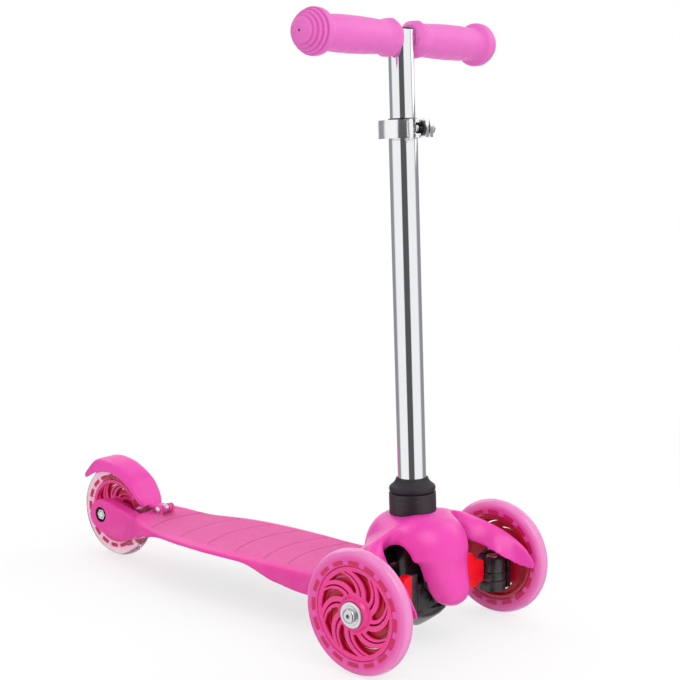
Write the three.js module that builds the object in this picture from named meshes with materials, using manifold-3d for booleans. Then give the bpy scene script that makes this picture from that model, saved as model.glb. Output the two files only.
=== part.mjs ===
// A kids scooter with two front wheels that steer when the handlebar leans, and one rear wheel.
// Millimetres. X points to the rider's left, Y backwards and Z up. The front axle is at Y 0 and
// the ground at Z 0 while the pieces are made; the whole is centred on its own box at the end.

import * as THREE from "three";
import { mergeVertices } from "three/addons/utils/BufferGeometryUtils.js";
import Module from "manifold-3d";

const wasm = await Module();
wasm.setup();

// Driving dimensions

const gap = 0.3; // between pieces that touch
const overrun = 6; // how far a cut runs past a face
const weld = 1.5; // how far joined forms reach into each other
const leftAndRight = [["left", 1], ["right", -1]];
const sides = { wheel: 36, large: 28, medium: 20, small: 14, tiny: 10 }; // facets round a turned form

const track = 231.2;
const wheelbase = 460.5;

const frontTyre = { radius: 60.4, width: 17, beadRadius: 45 };
const rearTyre = { radius: 54.6, width: 17, beadRadius: 38 };
const tyreTread = { shoulderDrop: 3.6, crownDrop: 0.9, beadChamfer: 1.6 };
// half widths of the tread, the crown and the shoulder, as shares of the tyre's half width
const treadHalfShare = 0.16;
const crownHalfShare = 0.46;
const shoulderHalfShare = 0.82;
const wallDropShare = 0.5; // of the tyre's depth, down to where its side wall is straight

const bearing = { outerRadius: 11, boreRadius: 4.3, width: 7 };
const axle = { radius: 4, headRadius: 6.5, headHeight: 4, socketRadius: 2.9, socketDepth: 2.4 };
const washer = { radius: 12.6, thickness: 1.4 };
const core = {
  hubRadius: 15, rimDepth: 4.4, rimInset: 1.6, openings: 8, openingInner: 18.5,
  openingMargin: 1.2, webThickness: 7.5, webInset: 2, curveSegments: 16,
};
const openingSwirlShare = 0.11; // of a full turn, from the inner to the outer end of an opening
const openingInnerShare = 0.5; // of the pitch, that an opening takes at its inner end
const openingOuterShare = 0.72;
// from the middle of the wheel to the ends of its bearings
const hubFace = { front: 11.1, frontInner: 5.7, rear: 10.9 };
const spacerRadius = 6;

const kingpin = {
  x: 92, y: -10, radius: 4, bore: 4.3, headRadius: 6.5, headHeight: 3, headSink: 2, bottom: 31,
};
const knuckle = {
  barrelRadius: 13.5, barrelTop: 67.4, bossRadius: 14, bossBottom: 33, spineOuter: 109.5,
  spineThickness: 6.5, spineFront: 20, spineRear: 9, axleBossRadius: 9, axleBossInner: 93,
  armLength: 36, armWidth: 9, armHeight: 5, eyeRadius: 6, pinRadius: 3, pinLength: 6.3,
};
const ear = { bottom: 43.9, top: 52.3, radius: 11.5, neckWidth: 18 };
const earRun = 0.5; // clearance over and under the ear
const tieRod = {
  top: 31.8, thickness: 5, width: 10, eyeRadius: 6.6, eyeBore: 3.9, padLength: 22, padWidth: 14,
};

const pivot = { height: 54, radius: 5, bore: 5.3, headRadius: 8, headHeight: 4, tail: 4 };
const carrier = {
  frontFace: -9.5, frontWall: 9.5, rearFace: 44, rearWall: 8, halfWidth: 30, frontFoot: 39.8,
  rearFoot: 26.8, wallTop: 68, shoulderWidth: 37, shoulderBottom: 41, railInner: 12, railOuter: 20.4,
  railBottom: 32.8, railTop: 37, railStart: 5, postDepth: 7.4, postTop: 45,
};
const arm = { bottom: 41, top: 80, height: 68, reach: 77.4, end: 64.5, shoulder: 60, step: 68, flange: 6 };
const tray = {
  halfWidth: 33, wall: 2.5, floor: 24, floorThickness: 2.5, rim: 39.5, bowlY: 20, bowlBottom: 13,
  floorEnd: 64, rise: 96, riseHeight: 40, tongueStart: 79, tongueEnd: 190,
  tongueTop: 52, tongueFoot: 46.5, sillTop: 36.1, windowWidth: 13, windowBottom: 26.4, windowTop: 32.3,
};
// radius share, height share between the bowl's bottom and the rim
const bowlShares = [[0.14, 0], [0.32, 0.14], [0.5, 0.3], [0.65, 0.44], [0.8, 0.58], [0.95, 0.8], [1, 1]];
const block = {
  bossRadius: 13, postRadius: 20, postBottom: 62, postTop: 123.4, socketBottom: 72,
  wingReach: 29.5, wingFront: 8, wingRear: 34, wingBottom: 48, wingTop: 54,
  fingerWidth: 8, fingerDepth: 5, fingerBottom: 27.4,
  screenFront: 38, screenThickness: 4, screenHalfWidth: 32, screenBottom: 76, screenTop: 106,
};
const bumper = { x: 16.2, y: 20, radius: 4.6 };
const bracket = {
  front: -15.2, thickness: 4, halfWidth: 30, footHalfWidth: 16, bottom: 46, footTop: 52, shoulder: 66,
  top: 90, bossRadius: 10, bossFront: -18, bossRear: -10.2,
};

const bar = { height: 589, radius: 8, wall: 1.4, halfLength: 136, aboveStem: 77, belowTubeTop: 8 };
const stem = {
  lean: 0.041, foot: 19.2, outerRadius: 14.3, wall: 1.5, top: bar.height - bar.aboveStem,
};
const innerTube = { radius: 12.5, wall: 1.5, bottom: 330, top: bar.height + bar.belowTubeTop };
const guideRing = { radius: 15, height: 2.5 };
const collar = { radius: 23.4, bottom: 112, top: 148.3 };
const boot = { radius: 22.9, height: 14.2 };
// radius share and height share, up the outside of the boot
const bootShares = [[0.943, 0], [1, 0.16], [0.99, 0.39], [0.83, 0.62], [0.735, 0.82], [0.69, 1]];

const grip = {
  inner: 12.8, outer: 148, faceRadius: 15.2, flareRadius: 18.6, neckRadius: 16, bodyRadius: 17.2,
  bulbRadius: 21.6, vent: 1.3,
};
// along the grip from its inner end, as shares of its length, with the radius that it has there
const gripProfile = [
  [0, grip.faceRadius], [0.045, grip.flareRadius], [0.075, grip.flareRadius], [0.14, grip.neckRadius],
  [0.36, grip.bodyRadius], [0.62, grip.bodyRadius], [0.79, grip.neckRadius], [0.815, grip.bulbRadius],
  [0.87, grip.bulbRadius],
];
const gripDomeSteps = 5;

const clampHeight = 17.5;
const clamp = {
  bottom: stem.top - clampHeight, height: clampHeight, wall: 3.6, slot: 2.4, earThickness: 4.6,
  earReach: 31.5, boltAhead: 25.4,
  boltRadius: 2.5, boltHeadRadius: 4.6, nutRadius: 6.4, nutLength: 3.6, washerRadius: 7.6,
  washerThickness: 3.4,
  leverThickness: 3.4, leverGap: 1.2, leverTurn: 1.75, leverSteps: 10, camRadius: 6.2, pinRadius: 1.8,
  thumbRadius: 2.6,
};

const dome = { y: 20, wall: 2.6, top: 127.6, holeRadius: 15.2, radius: 53.5, bottom: 44 };
// radius of the dome as a share of its widest, at shares of the height between bottom and top
const domeShares = [
  [0, 1], [0.4, 1], [0.53, 0.985], [0.64, 0.955], [0.73, 0.925], [0.81, 0.87], [0.89, 0.785], [0.945, 0.69],
  [0.985, 0.56], [1, 0.33],
];
const nose = { bottom: 43, top: 104, halfWidth: 40, reach: 59.5, archTop: 90 };
// height share; half width share; lip and front, as shares of the reach from the dome's centre
const noseShares = [
  [0, 0.17, 0.8, 0.855], [0.05, 0.4, 0.735, 0.91], [0.115, 0.55, 0.675, 0.965], [0.21, 0.63, 0.62, 0.992],
  [0.36, 0.71, 0.555, 0.955], [0.525, 0.79, 0.52, 0.895], [0.64, 0.83, 0.5, 0.865], [0.77, 0.875, 0.47, 0.835],
  [1, 1, 0.4, 0.77],
];
// the opening over each wheel mount, seen from the side: shares of the reach behind the dome's
// centre, and of the height from the nose's bottom to the dome's top
const archShares = [
  [-0.735, -0.2], [-0.735, 0.05], [-0.675, 0.085], [-0.62, 0.155], [-0.555, 0.265], [-0.52, 0.385],
  [-0.49, 0.5], [-0.445, 0.59], [-0.38, 0.675], [-0.28, 0.735], [-0.16, 0.752], [-0.04, 0.725],
  [0.07, 0.655], [0.15, 0.58], [0.22, 0.46], [0.27, 0.34], [0.3, 0.2], [0.3, -0.2],
];
const skirt = { rear: 72 }; // height of the rear edge of the cover
const wing = { x: 102, ahead: 58, z: 121, steps: 13, arcSteps: 5, hollowEndShare: 0.9, narrowestShare: 0.6 };
// stations from the middle to the tip of each wing: its front lip, its crest and its rear edge, as
// shares of the reach sideways, ahead of the axle and up
const lipShares = [
  [0, 0.379, 0.909], [0.235, 0.172, 0.876], [0.431, -0.276, 0.81], [0.51, -0.302, 0.771],
  [0.598, -0.155, 0.744], [0.647, -0.034, 0.719], [0.69, 0.109, 0.686], [0.728, 0.497, 0.607],
  [0.847, 0.652, 0.533], [0.922, 0.819, 0.485], [0.971, 0.966, 0.479],
];
const crestShares = [
  [0, -0.069, 1.083], [0.196, -0.103, 1.078], [0.353, -0.155, 1.048], [0.49, -0.207, 1.012],
  [0.627, -0.241, 0.975], [0.745, -0.233, 0.936], [0.853, -0.017, 0.872], [0.902, 0.276, 0.81],
  [0.941, 0.552, 0.744], [0.971, 0.81, 0.661], [0.99, 1, 0.545],
];
const heelShares = [
  [0, -0.724, 0.959], [0.235, -0.793, 0.909], [0.412, -0.862, 0.843], [0.549, -0.862, 0.793],
  [0.686, -0.776, 0.76], [0.784, -0.655, 0.76], [0.931, -0.207, 0.76], [0.971, 0.138, 0.748],
  [0.99, 0.431, 0.694], [1, 0.724, 0.595], [1, 0.931, 0.496],
];

const deck = { front: 72, rear: 400, halfWidth: 64, top: 61.5, skin: 3.5, endWall: 4, slope: 0.75 };
// length share; half width of the top and of the rim; height of the top, the rim and the lower edge
const deckShares = [
  [0, 0.625, 0.719, 0.992, 0.911, 0.593], [0.085, 0.781, 0.906, 1, 0.911, 0.598],
  [0.165, 0.797, 0.938, 1, 0.911, 0.621], [0.232, 0.805, 0.953, 1, 0.911, 0.673],
  [0.271, 0.812, 0.964, 1, 0.911, 0.709], [0.305, 0.828, 0.975, 1, 0.914, 0.764],
  [0.345, 0.844, 0.984, 1, 0.92, 0.839], [0.393, 0.848, 0.992, 1, 0.927, 0.894],
  [0.436, 0.853, 1, 1, 0.93, 0.899], [0.573, 0.844, 1, 1, 0.93, 0.899],
  [0.695, 0.781, 0.945, 0.992, 0.927, 0.896], [0.787, 0.731, 0.859, 0.967, 0.917, 0.885],
  [0.863, 0.688, 0.75, 0.959, 0.894, 0.818], [0.939, 0.594, 0.711, 1.016, 0.894, 0.683],
  [1, 0.438, 0.531, 1.081, 0.911, 0.569],
];
const fork = {
  front: 372, length: 107.5, bottom: 30.1, height: 41.9, inner: 13.6, outer: 29, bossRadius: 8,
  bossInner: 11.6, recessRadius: 9.2, recessDepth: 6,
};
const forkShares = [
  [0, 0.344], [0.084, 0.282], [0.194, 0.186], [0.353, 0.074], [0.514, 0.005], [0.677, 0],
  [0.792, 0.06], [0.889, 0.16], [0.97, 0.298], [1, 0.475], [0.995, 0.642], [0.97, 0.809],
  [0.912, 0.94], [0.851, 1], [0.719, 0.986], [0.638, 0.947], [0.478, 0.859], [0.304, 0.764],
  [0, 0.642],
];
const base = { front: 196, rear: 366, halfWidth: 42, bottom: 47.6, floor: 3, height: 6.9, wall: 2.6 };
const baseShares = [[0, 0.9], [0.35, 1], [0.62, 0.95], [0.85, 0.84], [1, 0.74]];
const screw = {
  headRadius: 4.2, headHeight: 1.3, sink: 1.7, radius: 1.7, length: 7.6, hole: 2, bossRadius: 5,
};
const deckScrewPlaces = { x: 26, front: 214, rear: 340 };
const trayScrewPlaces = { x: 0, front: 112, rear: 170 };

const hinge = {
  y: 380.5, z: 70.3, pinRadius: 2.4, bore: 2.7, lugRadius: 5, lugInner: 7.6, lugThickness: 3.4,
  headRadius: 3.6, headLength: 1.6,
};
const fender = {
  start: 398.6, reach: 108.4, height: 118.9, halfWidth: 20, wall: 1.5, depth: 16.9,
  knuckleRadius: 4.8, knuckleOuter: 7.2, springHalf: 3, springRoom: 5.4, webRise: 5, webLift: 1.4,
};
// length share; height share; half width share; depth share
const fenderShares = [
  [0, 0.611, 0.7, 0.45], [0.046, 0.67, 0.88, 0.402], [0.089, 0.719, 0.96, 0.391], [0.147, 0.79, 1, 0.426],
  [0.205, 0.844, 1, 0.497], [0.28, 0.891, 1, 0.533], [0.356, 0.928, 1, 0.562], [0.428, 0.959, 1, 0.627],
  [0.504, 0.981, 1, 0.746], [0.57, 0.993, 1, 0.84], [0.642, 1, 1, 0.929], [0.719, 0.994, 1, 1],
  [0.792, 0.972, 1, 1], [0.851, 0.931, 0.98, 0.852], [0.911, 0.875, 0.93, 0.669], [0.969, 0.822, 0.84, 0.473],
  [1, 0.787, 0.7, 0.308],
];
const fenderArcShares = [
  [-1, 1], [-1, 0.5], [-0.94, 0.2], [-0.72, 0.05], [-0.36, 0],
  [0.36, 0], [0.72, 0.05], [0.94, 0.2], [1, 0.5], [1, 1],
];
const spring = { outerRadius: 4.4 };
const rearNut = { radius: 6.5, thickness: 5 };

// Finishes

const pink = finish(0xeb50af, 0.5, 0);
const pinkRubber = finish(0xee6cc0, 0.75, 0);
const clearPink = finish(0xf48bc2, 0.25, 0);
const deckPink = finish(0xde69aa, 0.8, 0);
const red = finish(0xd81030, 0.4, 0);
const black = finish(0x232023, 0.45, 0);
const darkRubber = finish(0x1c1b1d, 0.85, 0);
const chrome = finish(0xd8dade, 0.15, 1);
const steel = finish(0xb9bcc0, 0.3, 1);

function finish(color, roughness, metalness) {
  return new THREE.MeshStandardMaterial({ color, roughness, metalness });
}

// Making and joining solids

function solid(geometry) {
  const bare = geometry.index ? geometry.toNonIndexed() : geometry.clone();
  for (const name of Object.keys(bare.attributes)) {
    if (name !== "position") bare.deleteAttribute(name);
  }
  const merged = mergeVertices(bare);
  const position = merged.attributes.position.array;
  const index = merged.index.array;
  const kept = [];
  const insideOut = signedVolume(position, index) < 0;
  for (let i = 0; i < index.length; i += 3) {
    const [a, b, c] = [index[i], index[i + 1], index[i + 2]];
    if (a !== b && b !== c && c !== a) kept.push(insideOut ? [a, c, b] : [a, b, c]);
  }
  const triVerts = new Uint32Array(kept.flat());
  return new wasm.Manifold(new wasm.Mesh({ numProp: 3, vertProperties: position, triVerts }));
}

function signedVolume(position, index) {
  const corner = (i) => new THREE.Vector3().fromArray(position, 3 * index[i]);
  let sum = 0;
  for (let i = 0; i < index.length; i += 3) sum += corner(i).dot(corner(i + 1).cross(corner(i + 2)));
  return sum;
}

function geometryOf(manifold) {
  const mesh = manifold.getMesh();
  const geometry = new THREE.BufferGeometry();
  geometry.setAttribute("position", new THREE.BufferAttribute(mesh.vertProperties, 3));
  geometry.setIndex(new THREE.BufferAttribute(mesh.triVerts, 1));
  return geometry;
}

function join(...geometries) {
  return geometryOf(geometries.map(solid).reduce((all, next) => all.add(next)));
}

function cut(geometry, ...tools) {
  return geometryOf(tools.map(solid).reduce((all, next) => all.subtract(next), solid(geometry)));
}

// Basic forms, each given by its lowest and highest place along the axes

function box(x0, x1, y0, y1, z0, z1) {
  const form = new THREE.BoxGeometry(x1 - x0, y1 - y0, z1 - z0);
  return form.translate((x0 + x1) / 2, (y0 + y1) / 2, (z0 + z1) / 2);
}

function upright(radius, z0, z1, x, y, count = sides.medium) {
  const form = new THREE.CylinderGeometry(radius, radius, z1 - z0, count);
  return form.rotateX(Math.PI / 2).translate(x, y, (z0 + z1) / 2);
}

function crosswise(radius, x0, x1, y, z, count = sides.medium) {
  const form = new THREE.CylinderGeometry(radius, radius, x1 - x0, count);
  return form.rotateZ(Math.PI / 2).translate((x0 + x1) / 2, y, z);
}

function lengthwise(radius, y0, y1, x, z, count = sides.medium) {
  return new THREE.CylinderGeometry(radius, radius, y1 - y0, count).translate(x, (y0 + y1) / 2, z);
}

// Turns a closed outline of [radius, height] points about the Z axis.
function turned(outline, count) {
  const points = [...outline, outline[0]].map(([r, z]) => new THREE.Vector2(r, z));
  return new THREE.LatheGeometry(points, count).rotateX(Math.PI / 2);
}

function tube(outer, inner, z0, z1, count = sides.large) {
  return turned([[inner, z0], [outer, z0], [outer, z1], [inner, z1]], count);
}

// Turns a wheel part, made about the Z axis with its outboard face up, onto its axle.
function ontoAxle(geometry, side, y, z) {
  return geometry.rotateY(side * Math.PI / 2).translate(side * track / 2, y, z);
}

function prismAlongX(points, x0, x1) {
  const shape = new THREE.Shape(points.map(([y, z]) => new THREE.Vector2(y, z)));
  const form = new THREE.ExtrudeGeometry(shape, { depth: x1 - x0, bevelEnabled: false });
  return form.rotateZ(Math.PI / 2).rotateY(Math.PI / 2).translate(x0, 0, 0);
}

function prismAlongY(points, y0, y1) {
  const shape = new THREE.Shape(points.map(([x, z]) => new THREE.Vector2(x, z)));
  const form = new THREE.ExtrudeGeometry(shape, { depth: y1 - y0, bevelEnabled: false });
  return form.rotateX(Math.PI / 2).translate(0, y1, 0);
}

function prismAlongZ(points, z0, z1) {
  const shape = new THREE.Shape(points.map(([x, y]) => new THREE.Vector2(x, y)));
  return new THREE.ExtrudeGeometry(shape, { depth: z1 - z0, bevelEnabled: false }).translate(0, 0, z0);
}

// Skins a row of rings that have the same number of points, and closes both ends.
function loft(rings, capShape = null) {
  const count = rings[0].length;
  const positions = rings.flat().flatMap((p) => [p.x, p.y, p.z]);
  const index = [];
  for (let r = 0; r + 1 < rings.length; r++) {
    for (let i = 0; i < count; i++) {
      const a = r * count + i;
      const b = r * count + (i + 1) % count;
      index.push(a, b, b + count, a, b + count, a + count);
    }
  }
  const contour = capShape ?? rings[0].map((p, i) => turnPoint(i, count));
  const caps = THREE.ShapeUtils.triangulateShape(contour, []);
  const last = (rings.length - 1) * count;
  for (const [a, b, c] of caps) index.push(a, c, b, last + a, last + b, last + c);
  const geometry = new THREE.BufferGeometry();
  geometry.setAttribute("position", new THREE.Float32BufferAttribute(positions, 3));
  geometry.setIndex(index);
  return geometry;
}

function turnPoint(i, count) {
  const angle = 2 * Math.PI * i / count;
  return new THREE.Vector2(Math.cos(angle), Math.sin(angle));
}

// Moves a form made about an upright stem onto the leaning stem.
function onStem(geometry) {
  return geometry.rotateX(-stem.lean).translate(0, stem.foot, 0);
}

const scooter = new THREE.Group();

function add(name, geometry, material) {
  const mesh = new THREE.Mesh(geometry, material);
  mesh.name = name;
  scooter.add(mesh);
}

// Wheels

function tyre(size) {
  const half = size.width / 2;
  const { radius, beadRadius } = size;
  const wallRadius = radius - wallDropShare * (radius - beadRadius);
  const right = [
    [beadRadius, half - tyreTread.beadChamfer],
    [beadRadius + tyreTread.beadChamfer, half],
    [wallRadius, half],
    [radius - tyreTread.shoulderDrop, half * shoulderHalfShare],
    [radius - tyreTread.crownDrop, half * crownHalfShare],
    [radius, half * treadHalfShare],
  ];
  const left = right.map(([r, z]) => [r, -z]).reverse();
  return turned([...right, ...left].reverse(), sides.wheel);
}

function swirlOpening(index, inner, outer) {
  const pitch = 2 * Math.PI / core.openings;
  const steps = 4;
  const edge = (side, t) => {
    const radius = inner + (outer - inner) * t;
    const share = openingInnerShare + (openingOuterShare - openingInnerShare) * t;
    const angle = index * pitch + openingSwirlShare * 2 * Math.PI * t + side * share * pitch / 2;
    return new THREE.Vector2(radius * Math.cos(angle), radius * Math.sin(angle));
  };
  const up = Array.from({ length: steps + 1 }, (unused, i) => edge(-1, i / steps));
  const down = Array.from({ length: steps + 1 }, (unused, i) => edge(1, 1 - i / steps));
  return new THREE.Path([...up, ...down]);
}

// A wheel core: rim, hub tube, and a web with swirl openings between two heights.
function wheelCore(size, webLow, webHigh, hubLow, hubHigh) {
  const half = size.width / 2;
  const rim = size.beadRadius - gap;
  const web = new THREE.Shape().absarc(0, 0, rim - core.rimDepth / 2, 0, 2 * Math.PI);
  const hubHole = new THREE.Path().absarc(0, 0, core.hubRadius - weld, 0, 2 * Math.PI);
  web.holes.push(hubHole);
  for (let i = 0; i < core.openings; i++) {
    web.holes.push(swirlOpening(i, core.openingInner, rim - core.rimDepth - core.openingMargin));
  }
  const settings = { depth: webHigh - webLow, bevelEnabled: false, curveSegments: core.curveSegments };
  const plate = new THREE.ExtrudeGeometry(web, settings);
  const rimRing = tube(rim, rim - core.rimDepth, core.rimInset - half, half - core.rimInset, sides.large);
  const hub = tube(core.hubRadius, bearing.outerRadius + gap, hubLow, hubHigh, sides.medium);
  return join(plate.translate(0, 0, webLow), rimRing, hub);
}

function bearingRing(middle) {
  const half = bearing.width / 2;
  return tube(bearing.outerRadius, bearing.boreRadius, middle - half, middle + half, sides.small);
}

function axleBolt(shankLow, headLow) {
  const high = headLow + axle.headHeight;
  return turned([
    [0, shankLow], [axle.radius, shankLow], [axle.radius, headLow], [axle.headRadius, headLow],
    [axle.headRadius, high - washer.thickness / 2], [axle.headRadius - washer.thickness / 2, high],
    [axle.socketRadius, high], [axle.socketRadius, high - axle.socketDepth], [0, high - axle.socketDepth],
  ], sides.medium);
}

function addFrontWheel(side, sign) {
  const half = frontTyre.width / 2;
  const webHigh = half - core.webInset;
  const washerLow = hubFace.front + gap;
  const shankLow = knuckle.axleBossInner - track / 2;
  const halfBearing = bearing.width / 2;
  const hub = wheelCore(frontTyre, webHigh - core.webThickness, webHigh, -hubFace.frontInner, hubFace.front);
  const place = (geometry) => ontoAxle(geometry, sign, 0, frontTyre.radius);
  add(`front_tyre_${side}`, place(tyre(frontTyre)), clearPink);
  add(`front_core_${side}`, place(hub), pink);
  add(`front_bearing_outer_${side}`, place(bearingRing(hubFace.front - halfBearing)), steel);
  add(`front_bearing_inner_${side}`, place(bearingRing(halfBearing - hubFace.frontInner)), steel);
  const ring = tube(washer.radius, bearing.boreRadius, washerLow, washerLow + washer.thickness, sides.medium);
  add(`front_washer_${side}`, place(ring), steel);
  add(`front_axle_${side}`, place(axleBolt(shankLow, washerLow + washer.thickness + gap)), steel);
}

function addRearWheel() {
  const middle = hubFace.rear - bearing.width / 2;
  const webHalf = core.webThickness / 2;
  const spacerHalf = hubFace.rear - bearing.width - gap;
  const place = (geometry) => geometry.rotateY(Math.PI / 2).translate(0, wheelbase, rearTyre.radius);
  add("rear_tyre", place(tyre(rearTyre)), clearPink);
  add("rear_core", place(wheelCore(rearTyre, -webHalf, webHalf, -hubFace.rear, hubFace.rear)), pink);
  add("rear_bearing_left", place(bearingRing(middle)), steel);
  add("rear_bearing_right", place(bearingRing(-middle)), steel);
  const spacer = tube(spacerRadius, bearing.boreRadius, -spacerHalf, spacerHalf, sides.small);
  add("rear_spacer", place(spacer), steel);
  const seat = fork.outer - fork.recessDepth + gap;
  add("rear_axle", place(axleBolt(-seat - rearNut.thickness, seat)), steel);
  const nut = cut(
    upright(rearNut.radius, -seat - rearNut.thickness, -seat, 0, 0, 6),
    upright(axle.radius + gap, -seat - rearNut.thickness - overrun, overrun - seat, 0, 0, sides.small),
  );
  add("rear_axle_nut", place(nut), steel);
}

// Wheel mounts and steering linkage

function addKnuckle(side, sign) {
  const k = knuckle;
  const { x, y } = kingpin;
  const barrelBottom = ear.top + earRun;
  const bossTop = ear.bottom - earRun;
  const spineInner = k.spineOuter - k.spineThickness;
  const spineFront = y + k.axleBossRadius - k.spineFront;
  const armTop = k.bossBottom + k.armHeight;
  const eyeY = y + k.armLength;
  const head = k.barrelTop - kingpin.headSink;
  const wheelZ = frontTyre.radius;
  const above = k.barrelTop + overrun;
  const body = join(
    upright(k.barrelRadius, barrelBottom, k.barrelTop, x, y),
    upright(k.bossRadius, k.bossBottom, bossTop, x, y),
    box(spineInner, k.spineOuter, spineFront, k.spineRear, k.bossBottom, k.barrelTop),
    crosswise(k.axleBossRadius, k.axleBossInner, k.spineOuter, 0, wheelZ),
    box(x - k.armWidth / 2, x + k.armWidth / 2, y, eyeY, k.bossBottom, armTop),
    upright(k.eyeRadius, k.bossBottom, armTop, x, eyeY),
    upright(k.pinRadius, k.bossBottom - k.pinLength, armTop, x, eyeY, sides.small),
  );
  const made = cut(body,
    upright(ear.radius + earRun + gap, bossTop, barrelBottom, x, y),
    upright(kingpin.bore, k.bossBottom - overrun, above, x, y, sides.small),
    upright(kingpin.headRadius + gap, head, above, x, y, sides.small),
    crosswise(axle.radius + gap, k.axleBossInner - overrun, k.spineOuter + overrun, 0, wheelZ, sides.small),
  );
  add(`knuckle_${side}`, mirrored(made, sign), black);
  const top = head + kingpin.headHeight;
  const pin = turned([
    [0, kingpin.bottom], [kingpin.radius, kingpin.bottom], [kingpin.radius, head + gap],
    [kingpin.headRadius, head + gap], [kingpin.headRadius, top], [0, top],
  ], sides.small);
  add(`kingpin_${side}`, mirrored(pin.translate(x, y, 0), sign), steel);
}

function mirrored(geometry, sign) {
  return sign > 0 ? geometry : geometryOf(solid(geometry.clone().scale(-1, 1, 1)));
}

function addTieRod() {
  const y = kingpin.y + knuckle.armLength;
  const low = tieRod.top - tieRod.thickness;
  const halfPad = tieRod.padLength / 2;
  const body = join(
    box(-kingpin.x, kingpin.x, y - tieRod.width / 2, y + tieRod.width / 2, low, tieRod.top),
    box(-halfPad, halfPad, y - tieRod.padWidth / 2, y + tieRod.padWidth / 2, low, tieRod.top),
    upright(tieRod.eyeRadius, low, tieRod.top, kingpin.x, y),
    upright(tieRod.eyeRadius, low, tieRod.top, -kingpin.x, y),
  );
  const slotHalf = block.fingerWidth / 2 + 4 * gap;
  const slotDepth = block.fingerDepth / 2 + 2 * gap;
  const made = cut(body,
    box(-slotHalf, slotHalf, y - slotDepth, y + slotDepth, low - overrun, tieRod.top + overrun),
    upright(tieRod.eyeBore, low - overrun, tieRod.top + overrun, kingpin.x, y, sides.small),
    upright(tieRod.eyeBore, low - overrun, tieRod.top + overrun, -kingpin.x, y, sides.small),
  );
  add("tie_rod", made, steel);
}

// Front chassis

function addCarrier() {
  const { frontFace, frontWall, rearFace, rearWall, halfWidth, wallTop, shoulderWidth } = carrier;
  const frontBack = frontFace + frontWall;
  const parts = [
    box(-halfWidth, halfWidth, frontFace, frontBack, carrier.frontFoot, wallTop),
    box(-shoulderWidth, shoulderWidth, frontFace, frontBack, carrier.shoulderBottom, wallTop),
    box(-halfWidth, halfWidth, rearFace, rearFace + rearWall, carrier.rearFoot, wallTop),
  ];
  for (const sign of [1, -1]) {
    const { railInner, railOuter, railBottom, railTop, railStart, postDepth, postTop } = carrier;
    const rail = box(railInner, railOuter, frontBack + railStart, rearFace + weld, railBottom, railTop);
    const post = box(railInner, railOuter, frontBack, frontBack + postDepth, railTop - weld, postTop);
    const foot = box(railInner, railOuter, frontBack - weld, frontBack + weld, carrier.frontFoot, postTop);
    parts.push(mirrored(join(rail, post, foot), sign));
  }
  const pinBore = lengthwise(pivot.bore, frontFace - overrun, rearFace + rearWall + overrun, 0, pivot.height);
  add("axle_carrier", cut(join(...parts), pinBore), black);
}

function addArm(side, sign) {
  const front = carrier.frontFace;
  const back = front + carrier.frontWall;
  const inner = carrier.shoulderWidth + gap;
  const profile = [
    [inner, arm.bottom], [arm.step, arm.bottom], [arm.step, ear.bottom], [arm.reach, ear.bottom],
    [arm.reach, arm.end], [arm.shoulder, arm.height], [arm.shoulder - arm.flange, arm.top], [inner, arm.top],
  ];
  const { x, y } = kingpin;
  const neckHalf = ear.neckWidth / 2;
  const body = join(
    prismAlongY(profile, front, back),
    box(arm.step - weld, x, y - neckHalf, y + neckHalf, ear.bottom, ear.top),
    upright(ear.radius, ear.bottom, ear.top, x, y),
  );
  const bore = upright(kingpin.bore, ear.bottom - overrun, ear.top + overrun, x, y, sides.small);
  add(`axle_arm_${side}`, mirrored(cut(body, bore), sign), red);
}

function trayBowl(inset, top) {
  const { bowlBottom, halfWidth, rim } = tray;
  const depth = rim - bowlBottom - inset;
  const side = bowlShares.map(([out, up]) => [halfWidth * out - inset, bowlBottom + inset + depth * up]);
  const outline = [[0, bowlBottom + inset], ...side, [halfWidth - inset, top], [0, top]];
  return turned(outline, sides.large).translate(0, tray.bowlY, 0);
}

function addTray() {
  const t = tray;
  const inside = t.halfWidth - t.wall;
  const floorTop = t.floor + t.floorThickness;
  const hull = prismAlongX([
    [t.bowlY, t.rim], [t.bowlY, t.floor], [t.floorEnd, t.floor], [t.rise, t.riseHeight],
    [t.tongueEnd, t.tongueFoot], [t.tongueEnd, t.tongueTop], [t.tongueStart, t.tongueTop],
    [t.tongueStart, t.sillTop], [deck.front - gap, t.sillTop], [deck.front - gap, t.rim],
  ], -t.halfWidth, t.halfWidth);
  const room = prismAlongX([
    [t.bowlY, t.rim + overrun], [t.bowlY, floorTop], [t.floorEnd - t.wall, floorTop],
    [t.tongueStart - t.wall, t.rim - overrun], [t.tongueStart - t.wall, t.rim + overrun],
  ], -inside, inside);
  const under = box(-inside, inside, t.rise + t.wall, t.tongueEnd - t.wall, 0, t.tongueTop - t.wall);
  const bosses = [];
  const holes = [];
  for (const { x, y } of trayScrews()) {
    bosses.push(upright(screw.bossRadius, t.tongueFoot, t.tongueTop - weld, x, y, sides.small));
    holes.push(upright(screw.hole, 0, t.tongueTop + overrun, x, y, sides.tiny));
  }
  const rodY = kingpin.y + knuckle.armLength;
  const half = t.windowWidth / 2;
  const reach = t.halfWidth + overrun;
  const window = box(-reach, reach, rodY - half, rodY + half, t.windowBottom, t.windowTop);
  const hollow = join(trayBowl(t.wall, t.rim + overrun), room, under);
  const shell = cut(join(trayBowl(0, t.rim), hull), hollow, window);
  add("lower_tray", cut(join(shell, ...bosses), ...holes), black);
}

function trayScrews() {
  const { x, front, rear } = trayScrewPlaces;
  return [{ name: "front", x, y: front }, { name: "rear", x, y: rear }];
}

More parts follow.
